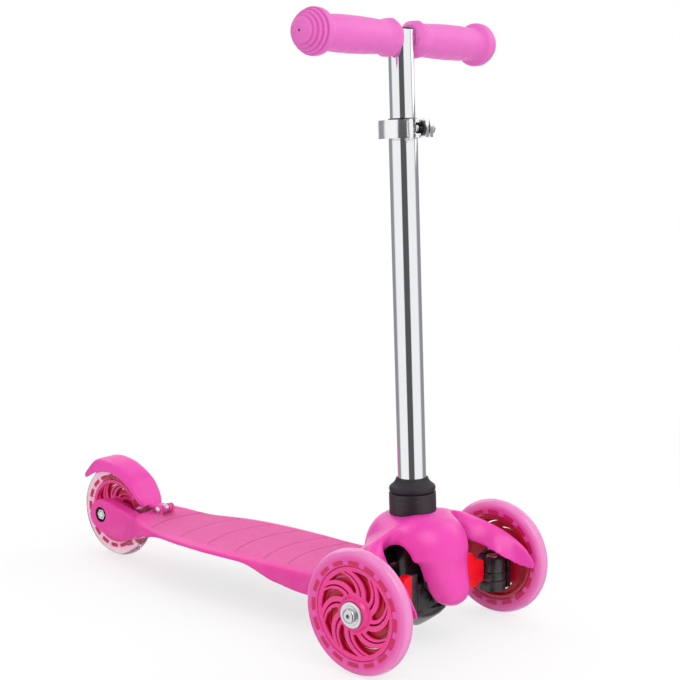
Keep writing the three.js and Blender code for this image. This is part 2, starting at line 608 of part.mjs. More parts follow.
function addSteeringBlock() {
  const b = block;
  const bossFront = carrier.frontFace + carrier.frontWall + 2 * gap;
  const bossRear = carrier.rearFace - 2 * gap;
  const rodY = kingpin.y + knuckle.armLength;
  const fingerX = b.fingerWidth / 2;
  const fingerY = b.fingerDepth / 2;
  const screenBack = b.screenFront + b.screenThickness;
  const body = join(
    lengthwise(b.bossRadius, bossFront, bossRear, 0, pivot.height),
    box(-b.wingReach, b.wingReach, b.wingFront, b.wingRear, b.wingBottom, b.wingTop),
    box(-fingerX, fingerX, rodY - fingerY, rodY + fingerY, b.fingerBottom, b.wingTop),
    box(-b.bossRadius, b.bossRadius, b.wingFront, b.wingRear, pivot.height, b.postBottom + weld),
    box(-b.screenHalfWidth, b.screenHalfWidth, b.screenFront, screenBack, b.screenBottom, b.screenTop),
    onStem(upright(b.postRadius, b.postBottom, b.postTop, 0, 0, sides.large)),
  );
  const made = cut(body,
    lengthwise(pivot.bore, bossFront - overrun, bossRear + overrun, 0, pivot.height),
    onStem(upright(stem.outerRadius + gap, b.socketBottom, b.postTop + overrun, 0, 0, sides.large)),
  );
  add("steering_block", made, black);
  const pinFront = bracket.bossFront - gap;
  const pinRear = carrier.rearFace + carrier.rearWall + pivot.tail;
  const pin = join(
    lengthwise(pivot.radius, pinFront - weld, pinRear, 0, pivot.height, sides.medium),
    lengthwise(pivot.headRadius, pinFront - pivot.headHeight, pinFront, 0, pivot.height, 6),
  );
  add("pivot_pin", pin, steel);
  for (const [side, sign] of leftAndRight) {
    const { x, y, radius } = bumper;
    const rubber = upright(radius, carrier.railTop + gap, b.wingBottom - gap, sign * x, y, sides.small);
    add(`bumper_${side}`, rubber, darkRubber);
  }
}

function addNoseBracket() {
  const b = bracket;
  const right = [
    [b.footHalfWidth, b.bottom], [b.footHalfWidth, b.footTop], [b.halfWidth, b.shoulder], [b.halfWidth, b.top],
  ];
  const left = right.map(([x, z]) => [-x, z]).reverse();
  const back = b.front + b.thickness;
  const plate = prismAlongY([...right, ...left], b.front, back);
  const boss = lengthwise(b.bossRadius, b.bossFront, b.bossRear, 0, pivot.height);
  const bore = lengthwise(pivot.bore, b.bossFront - overrun, b.bossRear + overrun, 0, pivot.height);
  add("nose_bracket", cut(join(plate, boss), bore), black);
}

// Front cover

function domeSolid(inset) {
  const height = dome.top - dome.bottom;
  const rise = height - inset;
  const outline = domeShares.map(([up, out]) => [dome.radius * out - inset, dome.bottom + rise * up]);
  const profile = [[0, dome.bottom], ...outline, [0, dome.top - inset]];
  return turned(profile, sides.large).translate(0, dome.y, 0);
}

function noseSolid(inset) {
  const steps = sides.medium;
  const rings = noseShares.map(([up, wide, lip, front]) => {
    const z = nose.bottom + (nose.top - nose.bottom) * up;
    const lipY = dome.y - nose.reach * lip;
    const ahead = nose.reach * (front - lip) - inset;
    const across = nose.halfWidth * wide - inset;
    return Array.from({ length: steps }, (unused, i) => {
      const angle = 2 * Math.PI * i / steps;
      const behind = Math.max(across, ahead);
      const depth = Math.sin(angle) > 0 ? behind : ahead;
      return new THREE.Vector3(across * Math.cos(angle), lipY + depth * Math.sin(angle), z);
    });
  });
  return loft(rings);
}

function alongWing(shares, t) {
  const place = ([x, ahead, up]) => new THREE.Vector3(x * wing.x, -ahead * wing.ahead, up * wing.z);
  return new THREE.CatmullRomCurve3(shares.map(place)).getPoint(t);
}

// The section of a wing: an arc from its lip over its crest to its rear edge, moved inwards by inset.
function wingSection(t, inset) {
  const lip = alongWing(lipShares, t);
  const crest = alongWing(crestShares, t);
  const heel = alongWing(heelShares, t);
  const middle = lip.clone().add(heel).multiplyScalar(1 / 2);
  const control = crest.clone().add(crest).sub(middle);
  const arc = new THREE.QuadraticBezierCurve3(lip, control, heel).getPoints(wing.arcSteps);
  if (!inset) return arc;
  const moved = arc.map((p) => {
    const inward = middle.clone().sub(p);
    const step = Math.min(inset, inward.length() * wing.narrowestShare);
    return p.clone().addScaledVector(inward.normalize(), step);
  });
  const below = new THREE.Vector3(0, 0, -overrun);
  return [moved[0].clone().add(below), ...moved, moved[moved.length - 1].clone().add(below)];
}

function wingSolid(inset) {
  const end = inset ? wing.hollowEndShare : 1;
  const count = wing.steps + 1;
  const right = Array.from({ length: count }, (unused, i) => wingSection(end * i / wing.steps, inset));
  const left = right.slice(1).map((ring) => ring.map((p) => new THREE.Vector3(-p.x, p.y, p.z)));
  return loft([...left.reverse(), ...right]);
}

function coverPoint([back, up]) {
  return [dome.y + nose.reach * back, nose.bottom + (dome.top - nose.bottom) * up];
}

function addCover() {
  const archOutline = archShares.map(coverPoint);
  const low = archOutline[0][1];
  const ahead = dome.y - nose.reach - dome.radius;
  const ridge = archOutline.slice(archOutline.findIndex(([, z]) => z > nose.archTop));
  const underDome = prismAlongX([[ahead, low], [ahead, ridge[0][1]], ...ridge], -track, track);
  const arch = prismAlongX(archOutline, -track, track);
  const dish = cut(domeSolid(0), underDome);
  const outside = join(dish, noseSolid(0), wingSolid(0));
  const inside = join(domeSolid(dome.wall), noseSolid(dome.wall), wingSolid(dome.wall));
  const far = dome.radius + overrun;
  const archRear = archOutline[archOutline.length - 1][0];
  const belowSkirt = box(-far, far, archRear - weld, dome.y + far, 0, skirt.rear);
  const mouth = box(-far, far, dome.y - nose.reach - far, dome.y + far, 0, nose.bottom + gap);
  const within = box(-far, far, ahead, dome.y + far, 0, dome.top + far);
  const archInside = cut(arch, cut(box(-track, track, ahead, dome.y + far, 0, dome.top + far), within));
  const stemHole = onStem(upright(dome.holeRadius, dome.bottom, dome.top + far, 0, 0, sides.large));
  const opened = cut(outside, inside, archInside, belowSkirt, mouth, stemHole);
  add("front_shell", opened, pink);
  const sleeve = onStem(tube(collar.radius, stem.outerRadius + gap, collar.bottom, collar.top, sides.large));
  add("stem_collar", cut(sleeve, domeSolid(-gap), wingSolid(-gap)), black);
}

// Stem, clamp and handlebar

function addStem() {
  const { outerRadius, wall, top } = stem;
  const tubeInner = outerRadius - wall;
  const ringLow = top + gap;
  add("lower_stem_tube", onStem(tube(outerRadius, tubeInner, block.socketBottom + gap, top)), chrome);
  const ring = tube(guideRing.radius, tubeInner, ringLow, ringLow + guideRing.height);
  add("stem_guide_ring", onStem(ring), black);
  const low = collar.top + gap;
  const bore = outerRadius + gap;
  const outside = bootShares.map(([out, up]) => [boot.radius * out, low + boot.height * up]);
  const rubber = turned([[bore, low], ...outside, [bore, low + boot.height]], sides.large);
  add("stem_boot", onStem(rubber), darkRubber);
}

function addClamp() {
  const c = clamp;
  const top = c.bottom + c.height;
  const middle = c.bottom + c.height / 2;
  const bore = stem.outerRadius + gap;
  const slotHalf = c.slot / 2;
  const earOuter = slotHalf + c.earThickness;
  const below = c.bottom - overrun;
  const above = top + overrun;
  const ahead = -c.boltAhead;
  const boltBore = c.boltRadius + gap;
  const band = join(
    tube(bore + c.wall, bore, c.bottom, top, sides.large),
    box(-earOuter, earOuter, -c.earReach, -bore - weld / 2, c.bottom, top),
  );
  const made = cut(band,
    box(-slotHalf, slotHalf, -c.earReach - overrun, 0, below, above),
    upright(bore, below, above, 0, 0, sides.large),
    crosswise(boltBore, -earOuter - overrun, earOuter + overrun, ahead, middle, sides.small),
  );
  add("clamp_collar", onStem(made), steel);
  const washerOuter = earOuter + gap + c.washerThickness;
  const washerForm = cut(
    crosswise(c.washerRadius, -washerOuter, -earOuter - gap, ahead, middle, sides.medium),
    crosswise(boltBore, -washerOuter - overrun, 0, ahead, middle, sides.small),
  );
  add("clamp_washer", onStem(washerForm), black);
  const camX = -washerOuter - gap - c.camRadius;
  const boltEnd = earOuter + gap + c.nutLength;
  const eyeHalf = c.boltHeadRadius / 2;
  const bolt = cut(
    join(
      crosswise(c.boltRadius, camX, boltEnd, ahead, middle, sides.small),
      crosswise(c.boltHeadRadius, camX - eyeHalf, camX + eyeHalf, ahead, middle, sides.small),
    ),
    upright(c.pinRadius + gap, below, above, camX, ahead, sides.small),
  );
  add("clamp_bolt", onStem(bolt), steel);
  const nut = cut(
    crosswise(c.nutRadius, earOuter + gap, boltEnd, ahead, middle, sides.small),
    crosswise(boltBore, 0, boltEnd + overrun, ahead, middle, sides.small),
  );
  add("clamp_nut", onStem(nut), steel);
  const pin = upright(c.pinRadius, c.bottom + gap, top - gap, camX, ahead, sides.small);
  add("clamp_pin", onStem(pin), steel);
  add("clamp_lever", onStem(leverForm(camX, top)), steel);
}

// The lever hugs the band: an arc round the stem from the cam to a thumb end on its far side.
function leverForm(camX, top) {
  const c = clamp;
  const inner = stem.outerRadius + gap + c.wall + c.leverGap;
  const outer = inner + c.leverThickness;
  const ahead = -c.boltAhead;
  const start = Math.atan2(ahead + c.camRadius, camX);
  const end = start - c.leverTurn;
  const onArc = (radius, angle) => [radius * Math.cos(angle), radius * Math.sin(angle)];
  const arc = (radius, from, to) => Array.from({ length: c.leverSteps + 1 }, (unused, i) => (
    onArc(radius, from + (to - from) * i / c.leverSteps)
  ));
  const strapOuter = outer + c.leverGap;
  const strap = prismAlongZ([...arc(inner, start, end), ...arc(strapOuter, end, start)], c.bottom, top);
  const [tipX, tipY] = onArc((inner + outer) / 2, end);
  const thumb = upright(c.thumbRadius, c.bottom, top, tipX, tipY, sides.small);
  const cam = upright(c.camRadius, c.bottom, top, camX, ahead, sides.medium);
  const link = prismAlongZ([
    [camX - c.camRadius, ahead], [camX, ahead - c.camRadius / 2],
    onArc(inner, start), onArc(strapOuter, start),
  ], c.bottom, top);
  const slot = c.boltHeadRadius + 2 * gap;
  const low = c.bottom + c.height / 2 - slot;
  const high = low + 2 * slot;
  const camFront = ahead - c.camRadius - overrun;
  return cut(join(strap, thumb, cam, link),
    upright(c.pinRadius + gap, c.bottom - overrun, top + overrun, camX, ahead, sides.small),
    box(camX - c.boltHeadRadius, camX + c.camRadius + overrun, ahead - slot, ahead + slot, low, high),
    box(camX - slot, camX + slot, camFront, ahead + slot, low, high),
  );
}

function addHandlebar() {
  const { radius, wall, bottom, top } = innerTube;
  const through = crosswise(bar.radius + gap, -radius - overrun, radius + overrun, 0, bar.height, sides.medium);
  add("upper_stem_tube", onStem(cut(tube(radius, radius - wall, bottom, top), through)), chrome);
  const plug = upright(radius, top + gap, top + gap + wall, 0, 0, sides.large);
  add("stem_plug", onStem(plug), black);
  const { halfLength } = bar;
  const cross = tube(bar.radius, bar.radius - bar.wall, -halfLength, halfLength, sides.medium);
  add("crossbar", onStem(cross.rotateY(Math.PI / 2).translate(0, 0, bar.height)), chrome);
  for (const [side, sign] of leftAndRight) {
    const form = gripForm().rotateY(sign * Math.PI / 2).translate(0, 0, bar.height);
    add(`grip_${side}`, onStem(form), pinkRubber);
  }
}

function gripForm() {
  const length = grip.outer - grip.inner;
  const outside = gripProfile.map(([share, radius]) => [radius, grip.inner + length * share]);
  const [domeRadius, domeStart] = outside[outside.length - 1];
  for (let i = 1; i < gripDomeSteps; i++) {
    const angle = Math.PI / 2 * i / gripDomeSteps;
    outside.push([domeRadius * Math.cos(angle), domeStart + (grip.outer - domeStart) * Math.sin(angle)]);
  }
  const bore = bar.radius + gap;
  const bottom = bar.halfLength + gap;
  return turned([
    [bore, grip.inner], ...outside, [grip.vent, grip.outer], [grip.vent, bottom], [bore, bottom],
  ], sides.medium);
}

// Deck and fork

function deckSection(row, inset) {
  const [along, topHalf, rimHalf, topHeight, rimHeight, lowHeight] = row;
  const y = deck.front + (deck.rear - deck.front) * along;
  const top = deck.top * topHeight - inset;
  const rim = deck.top * rimHeight - inset;
  const low = inset > 0 ? deck.top * lowHeight - overrun : deck.top * lowHeight;
  const topX = deck.halfWidth * topHalf - inset / 2;
  const rimX = deck.halfWidth * rimHalf - inset;
  const shoulderX = topX + (rimX - topX) * deck.slope;
  const shoulder = rim + (top - rim) * deck.slope * deck.slope;
  const right = [[rimX, low], [rimX, rim], [shoulderX, shoulder], [topX, top]];
  const left = right.map(([x, z]) => [-x, z]).reverse();
  return [...right, ...left].map(([x, z]) => new THREE.Vector3(x, y, z));
}

function deckBody() {
  const outer = loft(deckShares.map((row) => deckSection(row, 0)));
  const hollow = loft(deckShares.map((row) => deckSection(row, deck.skin)));
  const far = deck.halfWidth;
  const frontEnd = box(-far, far, 0, deck.front + deck.endWall, 0, deck.top + far);
  const rearEnd = box(-far, far, deck.rear - deck.endWall, deck.rear + far, 0, deck.top + far);
  return cut(outer, cut(hollow, frontEnd, rearEnd));
}

function forkArm(sign) {
  const place = ([along, up]) => [fork.front + fork.length * along, fork.bottom + fork.height * up];
  const side = prismAlongX(forkShares.map(place), fork.inner, fork.outer);
  const boss = crosswise(fork.bossRadius, fork.bossInner, fork.inner + weld, wheelbase, rearTyre.radius);
  return mirrored(join(side, boss), sign);
}

function hingeLug(sign) {
  const outer = hinge.lugInner + hinge.lugThickness;
  const foot = deck.top * deckShares[deckShares.length - 3][3] - weld;
  return mirrored(join(
    box(hinge.lugInner, outer, hinge.y - hinge.lugRadius, hinge.y + hinge.lugRadius, foot, hinge.z),
    crosswise(hinge.lugRadius, hinge.lugInner, outer, hinge.y, hinge.z),
  ), sign);
}

function deckScrews() {
  const { x, front, rear } = deckScrewPlaces;
  return [
    { name: "front_left", x, y: front }, { name: "front_right", x: -x, y: front },
    { name: "rear_left", x, y: rear }, { name: "rear_right", x: -x, y: rear },
  ];
}

function addDeck() {
  const bossTop = deck.top - deck.skin + weld;
  const boss = (low) => ({ x, y }) => upright(screw.bossRadius, low, bossTop, x, y, sides.small);
  const baseBosses = deckScrews().map(boss(base.bottom + base.floor + gap));
  const trayBosses = trayScrews().map(boss(tray.tongueTop + gap));
  const armsAndLugs = [1, -1].flatMap((sign) => [forkArm(sign), hingeLug(sign)]);
  const whole = join(deckBody(), ...baseBosses, ...trayBosses, ...armsAndLugs);
  const reach = fork.outer + overrun;
  const recessInner = fork.outer - fork.recessDepth;
  const made = cut(whole,
    crosswise(axle.radius + gap, -reach, reach, wheelbase, rearTyre.radius, sides.small),
    crosswise(fork.recessRadius, recessInner, reach, wheelbase, rearTyre.radius),
    crosswise(fork.recessRadius, -reach, -recessInner, wheelbase, rearTyre.radius),
    crosswise(hinge.bore, -reach, reach, hinge.y, hinge.z, sides.small),
    ...deckScrews().map(screwHole(base.bottom)),
    ...trayScrews().map(screwHole(tray.tongueFoot)),
  );
  add("deck_board", made, deckPink);
}

function screwHole(seat) {
  const top = seat + screw.sink + screw.length + gap;
  return ({ x, y }) => upright(screw.hole, 0, top, x, y, sides.tiny);
}

function screwForm(x, y, seat) {
  const shoulder = seat + screw.sink;
  const head = shoulder - screw.headHeight;
  const end = shoulder + screw.length;
  return turned([
    [0, head], [screw.headRadius, head], [screw.headRadius, shoulder], [screw.radius, shoulder],
    [screw.radius, end], [0, end],
  ], sides.small).translate(x, y, 0);
}

function basePlan(inset) {
  const right = baseShares.map(([along, wide]) => {
    const y = base.front + inset + (base.rear - base.front - 2 * inset) * along;
    return [base.halfWidth * wide - inset, y];
  });
  return [...right, ...right.map(([x, y]) => [-x, y]).reverse()];
}

function addBase() {
  const top = base.bottom + base.height;
  const body = cut(
    prismAlongZ(basePlan(0), base.bottom, top),
    prismAlongZ(basePlan(base.wall), base.bottom + base.floor, top + overrun),
  );
  const holes = deckScrews().flatMap(({ x, y }) => [
    upright(screw.hole + gap, base.bottom - overrun, top, x, y, sides.tiny),
    upright(screw.headRadius + gap, base.bottom - overrun, base.bottom + screw.sink, x, y, sides.small),
  ]);
  add("deck_base", cut(body, ...holes), black);
  for (const { name, x, y } of deckScrews()) {
    add(`deck_screw_${name}`, screwForm(x, y, base.bottom), steel);
  }
  const underTongue = tray.tongueFoot - screw.sink - gap;
  for (const { name, x, y } of trayScrews()) {
    add(`tray_screw_${name}`, screwForm(x, y, underTongue), steel);
  }
}

// Rear mudguard, which is the foot brake

function fenderCrown([along, up]) {
  return new THREE.Vector3(0, fender.start + fender.reach * along, fender.height * up);
}

function fenderRing(row, next) {
  const [, , wide, deep] = row;
  const top = fenderCrown(row);
  const ahead = next.clone().normalize();
  const down = new THREE.Vector3(0, ahead.z, -ahead.y);
  const halfWidth = fender.halfWidth * wide;
  const depth = fender.depth * deep;
  const wall = Math.min(fender.wall, depth / 2);
  const ring = (inset) => fenderArcShares.map(([x, d]) => top.clone()
    .add(new THREE.Vector3(x * (halfWidth - inset), 0, 0))
    .addScaledVector(down, inset + d * (depth - inset)));
  return [...ring(0), ...ring(wall).reverse()];
}

function fenderShell() {
  const tops = fenderShares.map(fenderCrown);
  const rings = fenderShares.map((row, i) => {
    const before = tops[Math.max(i - 1, 0)];
    const after = tops[Math.min(i + 1, tops.length - 1)];
    return fenderRing(row, after.clone().sub(before));
  });
  const half = fenderArcShares.length;
  const contour = rings[0].map((p, i) => {
    const outer = i < half;
    const step = outer ? i : 2 * half - 1 - i;
    const angle = Math.PI * step / (half - 1);
    const radius = outer ? 1 : 1 / 2;
    return new THREE.Vector2(radius * Math.cos(angle), radius * Math.sin(angle));
  });
  return loft(rings, contour);
}

function addFender() {
  const f = fender;
  const startZ = f.height * fenderShares[0][1];
  const webLow = hinge.z - f.webLift;
  const secondY = f.start + f.reach * fenderShares[1][0];
  const web = prismAlongX([
    [hinge.y, hinge.z + f.knuckleRadius - f.wall], [hinge.y, webLow], [f.start + f.wall, webLow],
    [secondY + f.wall / 2, startZ + f.webRise], [secondY - f.wall / 2, startZ + f.webRise],
    [f.start, startZ + f.wall / 2],
  ], -f.knuckleOuter, f.knuckleOuter);
  const eye = crosswise(f.knuckleRadius, -f.knuckleOuter, f.knuckleOuter, hinge.y, hinge.z);
  const whole = join(fenderShell(), join(web, eye));
  const made = cut(whole,
    crosswise(hinge.bore, -f.halfWidth, f.halfWidth, hinge.y, hinge.z, sides.small),
    crosswise(f.springRoom, -f.springHalf, f.springHalf, hinge.y, hinge.z, sides.small),
  );
  add("rear_fender", made, pink);
  const { y, z } = hinge;
  const lugOuter = hinge.lugInner + hinge.lugThickness;
  const headInner = -lugOuter - gap;
  const pin = join(
    crosswise(hinge.pinRadius, headInner - gap, lugOuter, y, z, sides.small),
    crosswise(hinge.headRadius, headInner - hinge.headLength, headInner, y, z, sides.small),
  );
  add("fender_pin", pin, steel);
  const coilHalf = f.springHalf - gap;
  const coil = cut(
    crosswise(spring.outerRadius, -coilHalf, coilHalf, y, z, sides.small),
    crosswise(hinge.bore, -f.halfWidth, f.halfWidth, y, z, sides.small),
  );
  add("fender_spring", coil, steel);
}

// The whole scooter

for (const [side, sign] of leftAndRight) {
  addFrontWheel(side, sign);
  addKnuckle(side, sign);
  addArm(side, sign);
}
addRearWheel();
addTieRod();
addCarrier();
addTray();
addSteeringBlock();
addNoseBracket();
addCover();
addStem();
addClamp();
addHandlebar();
addDeck();
addBase();
addFender();

const bounds = new THREE.Box3().setFromObject(scooter);
const middle = bounds.getCenter(new THREE.Vector3());
scooter.position.set(-middle.x, -middle.y, -bounds.min.z);

const whole = new THREE.Group();
whole.add(scooter);
export default whole;
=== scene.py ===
"""The looks of a kids scooter with two front wheels that steer when the handlebar leans.

Sizes are millimetres from the front axle line on the ground: X to the rider's left, Y backwards, Z up.
"""

import math
from contextlib import contextmanager

import bmesh
import bpy
import numpy as np
from mathutils import Matrix, Vector
from mathutils.bvhtree import BVHTree


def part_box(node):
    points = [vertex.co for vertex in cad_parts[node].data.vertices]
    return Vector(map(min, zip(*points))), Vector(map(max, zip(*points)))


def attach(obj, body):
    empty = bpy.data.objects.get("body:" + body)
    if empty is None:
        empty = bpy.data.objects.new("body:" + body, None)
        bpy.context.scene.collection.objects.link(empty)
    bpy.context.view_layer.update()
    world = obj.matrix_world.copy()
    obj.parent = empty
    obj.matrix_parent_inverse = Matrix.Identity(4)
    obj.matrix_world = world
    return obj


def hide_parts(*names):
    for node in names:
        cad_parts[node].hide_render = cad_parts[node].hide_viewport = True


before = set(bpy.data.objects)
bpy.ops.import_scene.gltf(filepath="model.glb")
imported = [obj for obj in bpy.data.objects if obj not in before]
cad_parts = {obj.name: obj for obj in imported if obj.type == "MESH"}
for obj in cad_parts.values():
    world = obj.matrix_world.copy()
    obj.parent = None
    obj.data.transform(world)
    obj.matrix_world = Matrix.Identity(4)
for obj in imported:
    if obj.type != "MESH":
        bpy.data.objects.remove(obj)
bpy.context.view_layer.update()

# Places and driving sizes

MM = 0.001


def middle(node):
    low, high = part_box(node)
    return (low + high) / 2


FRONT_AXLE = middle("front_tyre_left")
REAR_AXLE = middle("rear_tyre")
HALF_TRACK = FRONT_AXLE.x / MM
WHEELBASE = (REAR_AXLE.y - FRONT_AXLE.y) / MM
SIDES = {"left": 1, "right": -1}

STEM_LEAN = 0.041
STEM_FOOT_Y = 19.2
ON_STEM = Matrix.Translation((0, STEM_FOOT_Y, 0)) @ Matrix.Rotation(-STEM_LEAN, 4, "X")

FRONT_WHEEL = {"radius": 60.4, "bead": 45, "width": 17, "hub_out": 11.1, "hub_in": -5.7,
               "face": 6.5, "back": -1.0}
REAR_WHEEL = {"radius": 54.6, "bead": 38, "width": 17, "hub_out": 10.9, "hub_in": -10.9,
              "face": 3.75, "back": -3.75}


def along_x(y, z, sign=1, x=0):
    """The place of a form that is made about Z and lies along X, with its top on the sign's side."""
    return Matrix.Translation((x, y, z)) @ Matrix.Rotation(sign * math.pi / 2, 4, "Y")


def on_wheel(side):
    """The place of a form that is made about Z with a wheel's outer face on top."""
    if side == "rear":
        return along_x(WHEELBASE, REAR_WHEEL["radius"])
    return along_x(0, FRONT_WHEEL["radius"], SIDES[side], SIDES[side] * HALF_TRACK)


# Curves and outlines

def curve_through(points, count):
    """A smooth curve through the points, with count samples spread evenly over its spans."""
    p = np.asarray(points, float)
    p = np.vstack([2 * p[0] - p[1], p, 2 * p[-1] - p[-2]])
    spans = len(p) - 3
    samples = []
    for t in np.linspace(0, spans, count):
        i = min(int(t), spans - 1)
        u = t - i
        before, start, end, after = p[i:i + 4]
        first = max(np.linalg.norm(start - before), 1e-9) ** 0.5
        span = max(np.linalg.norm(end - start), 1e-9) ** 0.5
        last = max(np.linalg.norm(after - end), 1e-9) ** 0.5
        out = span * ((start - before) / first - (end - before) / (first + span) + (end - start) / span)
        into = span * ((end - start) / span - (after - start) / (span + last) + (after - end) / last)
        bend = 2 * (start - end) + out + into
        swing = 3 * (end - start) - 2 * out - into
        samples.append(start + out * u + swing * u ** 2 + bend * u ** 3)
    return np.array(samples)


def rounded(points, radius, steps=4):
    """A closed outline with each corner turned into a small arc."""
    p = np.asarray(points, float)
    soft = []
    for i, corner in enumerate(p):
        back = p[i - 1] - corner
        ahead = p[(i + 1) % len(p)] - corner
        reach = min(radius, 0.45 * np.linalg.norm(back), 0.45 * np.linalg.norm(ahead))
        start = corner + back / max(np.linalg.norm(back), 1e-9) * reach
        end = corner + ahead / max(np.linalg.norm(ahead), 1e-9) * reach
        for t in np.linspace(0, 1, steps + 1):
            soft.append((1 - t) ** 2 * start + 2 * t * (1 - t) * corner + t ** 2 * end)
    return np.array(soft)


def ring_section(inner, outer, low, high, ease):
    """Half the section of a tube or ring with eased edges, as (radius, height) points."""
    return rounded([(inner, low), (outer, low), (outer, high), (inner, high)], ease, 3)


def polar(radius, angle):
    return (radius * math.cos(angle), radius * math.sin(angle))


def around(steps):
    return np.linspace(0, 2 * math.pi, steps, endpoint=False)


def ring_outline(radius, steps=96):
    return [polar(radius, angle) for angle in around(steps)]


# Meshes

EDGE_ANGLE = 40


def skin(rows, closed_rows=False, closed_across=True, caps=False):
    """Points and faces of a surface over rows that have the same number of points."""
    rows = np.asarray(rows, float)
    count, width = rows.shape[:2]
    faces = []
    for r in range(count if closed_rows else count - 1):
        first = r * width
        second = (r + 1) % count * width
        for i in range(width if closed_across else width - 1):
            j = (i + 1) % width
            faces.append((first + i, first + j, second + j, second + i))
    if caps:
        faces.append(tuple(reversed(range(width))))
        faces.append(tuple(range((count - 1) * width, count * width)))
    return rows.reshape(-1, 3), faces


def turned(outline, steps=96, wobble=None):
    """A closed outline of (radius, height) points turned about Z. wobble(angle, row) scales a radius."""
    rows = []
    for angle in around(steps):
        scale = [wobble(angle, i) if wobble else 1 for i in range(len(outline))]
        rows.append([(r * k * math.cos(angle), r * k * math.sin(angle), h)
                     for (r, h), k in zip(outline, scale)])
    return skin(rows, closed_rows=True)


def to_metres(points, place=None):
    p = np.asarray(points, float)
    if place is not None:
        turn = np.array(place)
        p = p @ turn[:3, :3].T + turn[:3, 3]
    return p * MM + np.array([0, FRONT_AXLE.y, 0])


def build(name, points, faces, place=None):
    mesh = bpy.data.meshes.new(name)
    mesh.from_pydata(to_metres(points, place).tolist(), [], faces)
    return tidied(link(name, mesh))


def link(name, data):
    """A new object in the scene that shows a mesh or holds a curve, a lamp or a camera."""
    obj = bpy.data.objects.new(name, data)
    bpy.context.scene.collection.objects.link(obj)
    return obj


@contextmanager
def editing(obj):
    """Hands out the object's mesh for changes, and writes it back after them."""
    shape = bmesh.new()
    shape.from_mesh(obj.data)
    yield shape
    shape.to_mesh(obj.data)
    shape.free()


def tidied(obj, merge=0.002):
    """Welds what meets, drops what has no area and turns every face outwards."""
    with editing(obj) as shape:
        bmesh.ops.remove_doubles(shape, verts=shape.verts, dist=merge * MM)
        bmesh.ops.dissolve_degenerate(shape, edges=shape.edges, dist=merge * MM)
        bmesh.ops.recalc_face_normals(shape, faces=shape.faces)
    return obj


def shaded(obj, crease=EDGE_ANGLE):
    """Smooth shading with an edge wherever the surface turns by more than the crease angle."""
    with editing(obj) as shape:
        for face in shape.faces:
            face.smooth = True
        for edge in shape.edges:
            edge.smooth = len(edge.link_faces) == 2 and edge.calc_face_angle() < math.radians(crease)
    return obj


def evaluated_mesh(obj):
    graph = bpy.context.evaluated_depsgraph_get()
    return bpy.data.meshes.new_from_object(obj.evaluated_get(graph))


def modified(obj, kind, **settings):
    """Applies one modifier at once, so that the mesh keeps its result."""
    modifier = obj.modifiers.new(kind, kind)
    for key, value in settings.items():
        setattr(modifier, key, value)
    mesh = evaluated_mesh(obj)
    obj.modifiers.clear()
    obj.data = mesh
    return obj


def drop(*objects):
    for obj in objects:
        bpy.data.objects.remove(obj)


def joined(name, *parts):
    """One object that holds the meshes of all the parts, which are removed."""
    shape = bmesh.new()
    for part in parts:
        shape.from_mesh(part.data)
    drop(*parts)
    mesh = bpy.data.meshes.new(name)
    shape.to_mesh(mesh)
    shape.free()
    return link(name, mesh)


def melted(obj, voxel):
    """The object as one closed surface of even faces, about a voxel in size."""
    return modified(obj, "REMESH", mode="VOXEL", voxel_size=voxel * MM, adaptivity=0)


def carved(obj, *cutters, operation="DIFFERENCE"):
    """The object without the cutters, or what it shares with them; the cutters are removed."""
    for cutter in cutters:
        modified(obj, "BOOLEAN", operation=operation, solver="EXACT", object=cutter)
        drop(cutter)
    return obj


def points_of(obj, what="co"):
    values = np.empty(len(obj.data.vertices) * 3)
    obj.data.vertices.foreach_get(what, values)
    return values.reshape(-1, 3)


def set_points(obj, points):
    obj.data.vertices.foreach_set("co", np.asarray(points, float).ravel())
    obj.data.update()


def neighbours(obj):
    """A function that gives the middle of each point's neighbours."""
    size = len(obj.data.vertices)
    ends = np.empty(len(obj.data.edges) * 2, int)
    obj.data.edges.foreach_get("vertices", ends)
    ends = ends.reshape(-1, 2)
    count = np.bincount(ends.ravel(), minlength=size)[:, None].clip(1)

    def middles(points):
        total = np.zeros_like(points)
        for a, b in ((0, 1), (1, 0)):
            for axis in range(3):
                total[:, axis] += np.bincount(ends[:, a], points[ends[:, b], axis], size)
        return total / count

    return middles


def relaxed(obj, rounds, weights=None, strength=0.5):
    """Moves each point towards the middle of its neighbours, as far as its weight says."""
    points = points_of(obj)
    middles = neighbours(obj)
    pull = strength * (np.ones(len(points)) if weights is None else weights)[:, None]
    for unused in range(rounds):
        points = points + pull * (middles(points) - points)
    set_points(obj, points)
    return obj


def filled(obj, rounds, weights, strength=0.6):
    """Fills hollow creases: a point only ever moves outwards, towards the middle of its neighbours."""
    middles = neighbours(obj)
    for unused in range(rounds):
        points, outward = points_of(obj), points_of(obj, "normal")
        rise = ((middles(points) - points) * outward).sum(axis=1).clip(0)
        set_points(obj, points + outward * (strength * weights * rise)[:, None])
    return obj


def seam_weights(obj, forms, reach):
    """1 where two of the forms meet, fading to 0 at reach millimetres from there; the forms are removed."""
    graph = bpy.context.evaluated_depsgraph_get()
    trees = [BVHTree.FromObject(form, graph) for form in forms]
    weights = []
    for vertex in obj.data.vertices:
        near = sorted(tree.find_nearest(vertex.co)[3] for tree in trees)
        weights.append(max(0.0, 1 - near[1] / (reach * MM)))
    drop(*forms)
    return np.array(weights)


def keep_value(obj, name, values):
    """Stores one number per point, which a material can read."""
    layer = obj.data.attributes.new(name, "FLOAT", "POINT")
    layer.data.foreach_set("value", np.asarray(values, np.float32))


def making_points(obj):
    """The object's points in the sizes that this script uses."""
    return (points_of(obj) - np.array([0, FRONT_AXLE.y, 0])) / MM


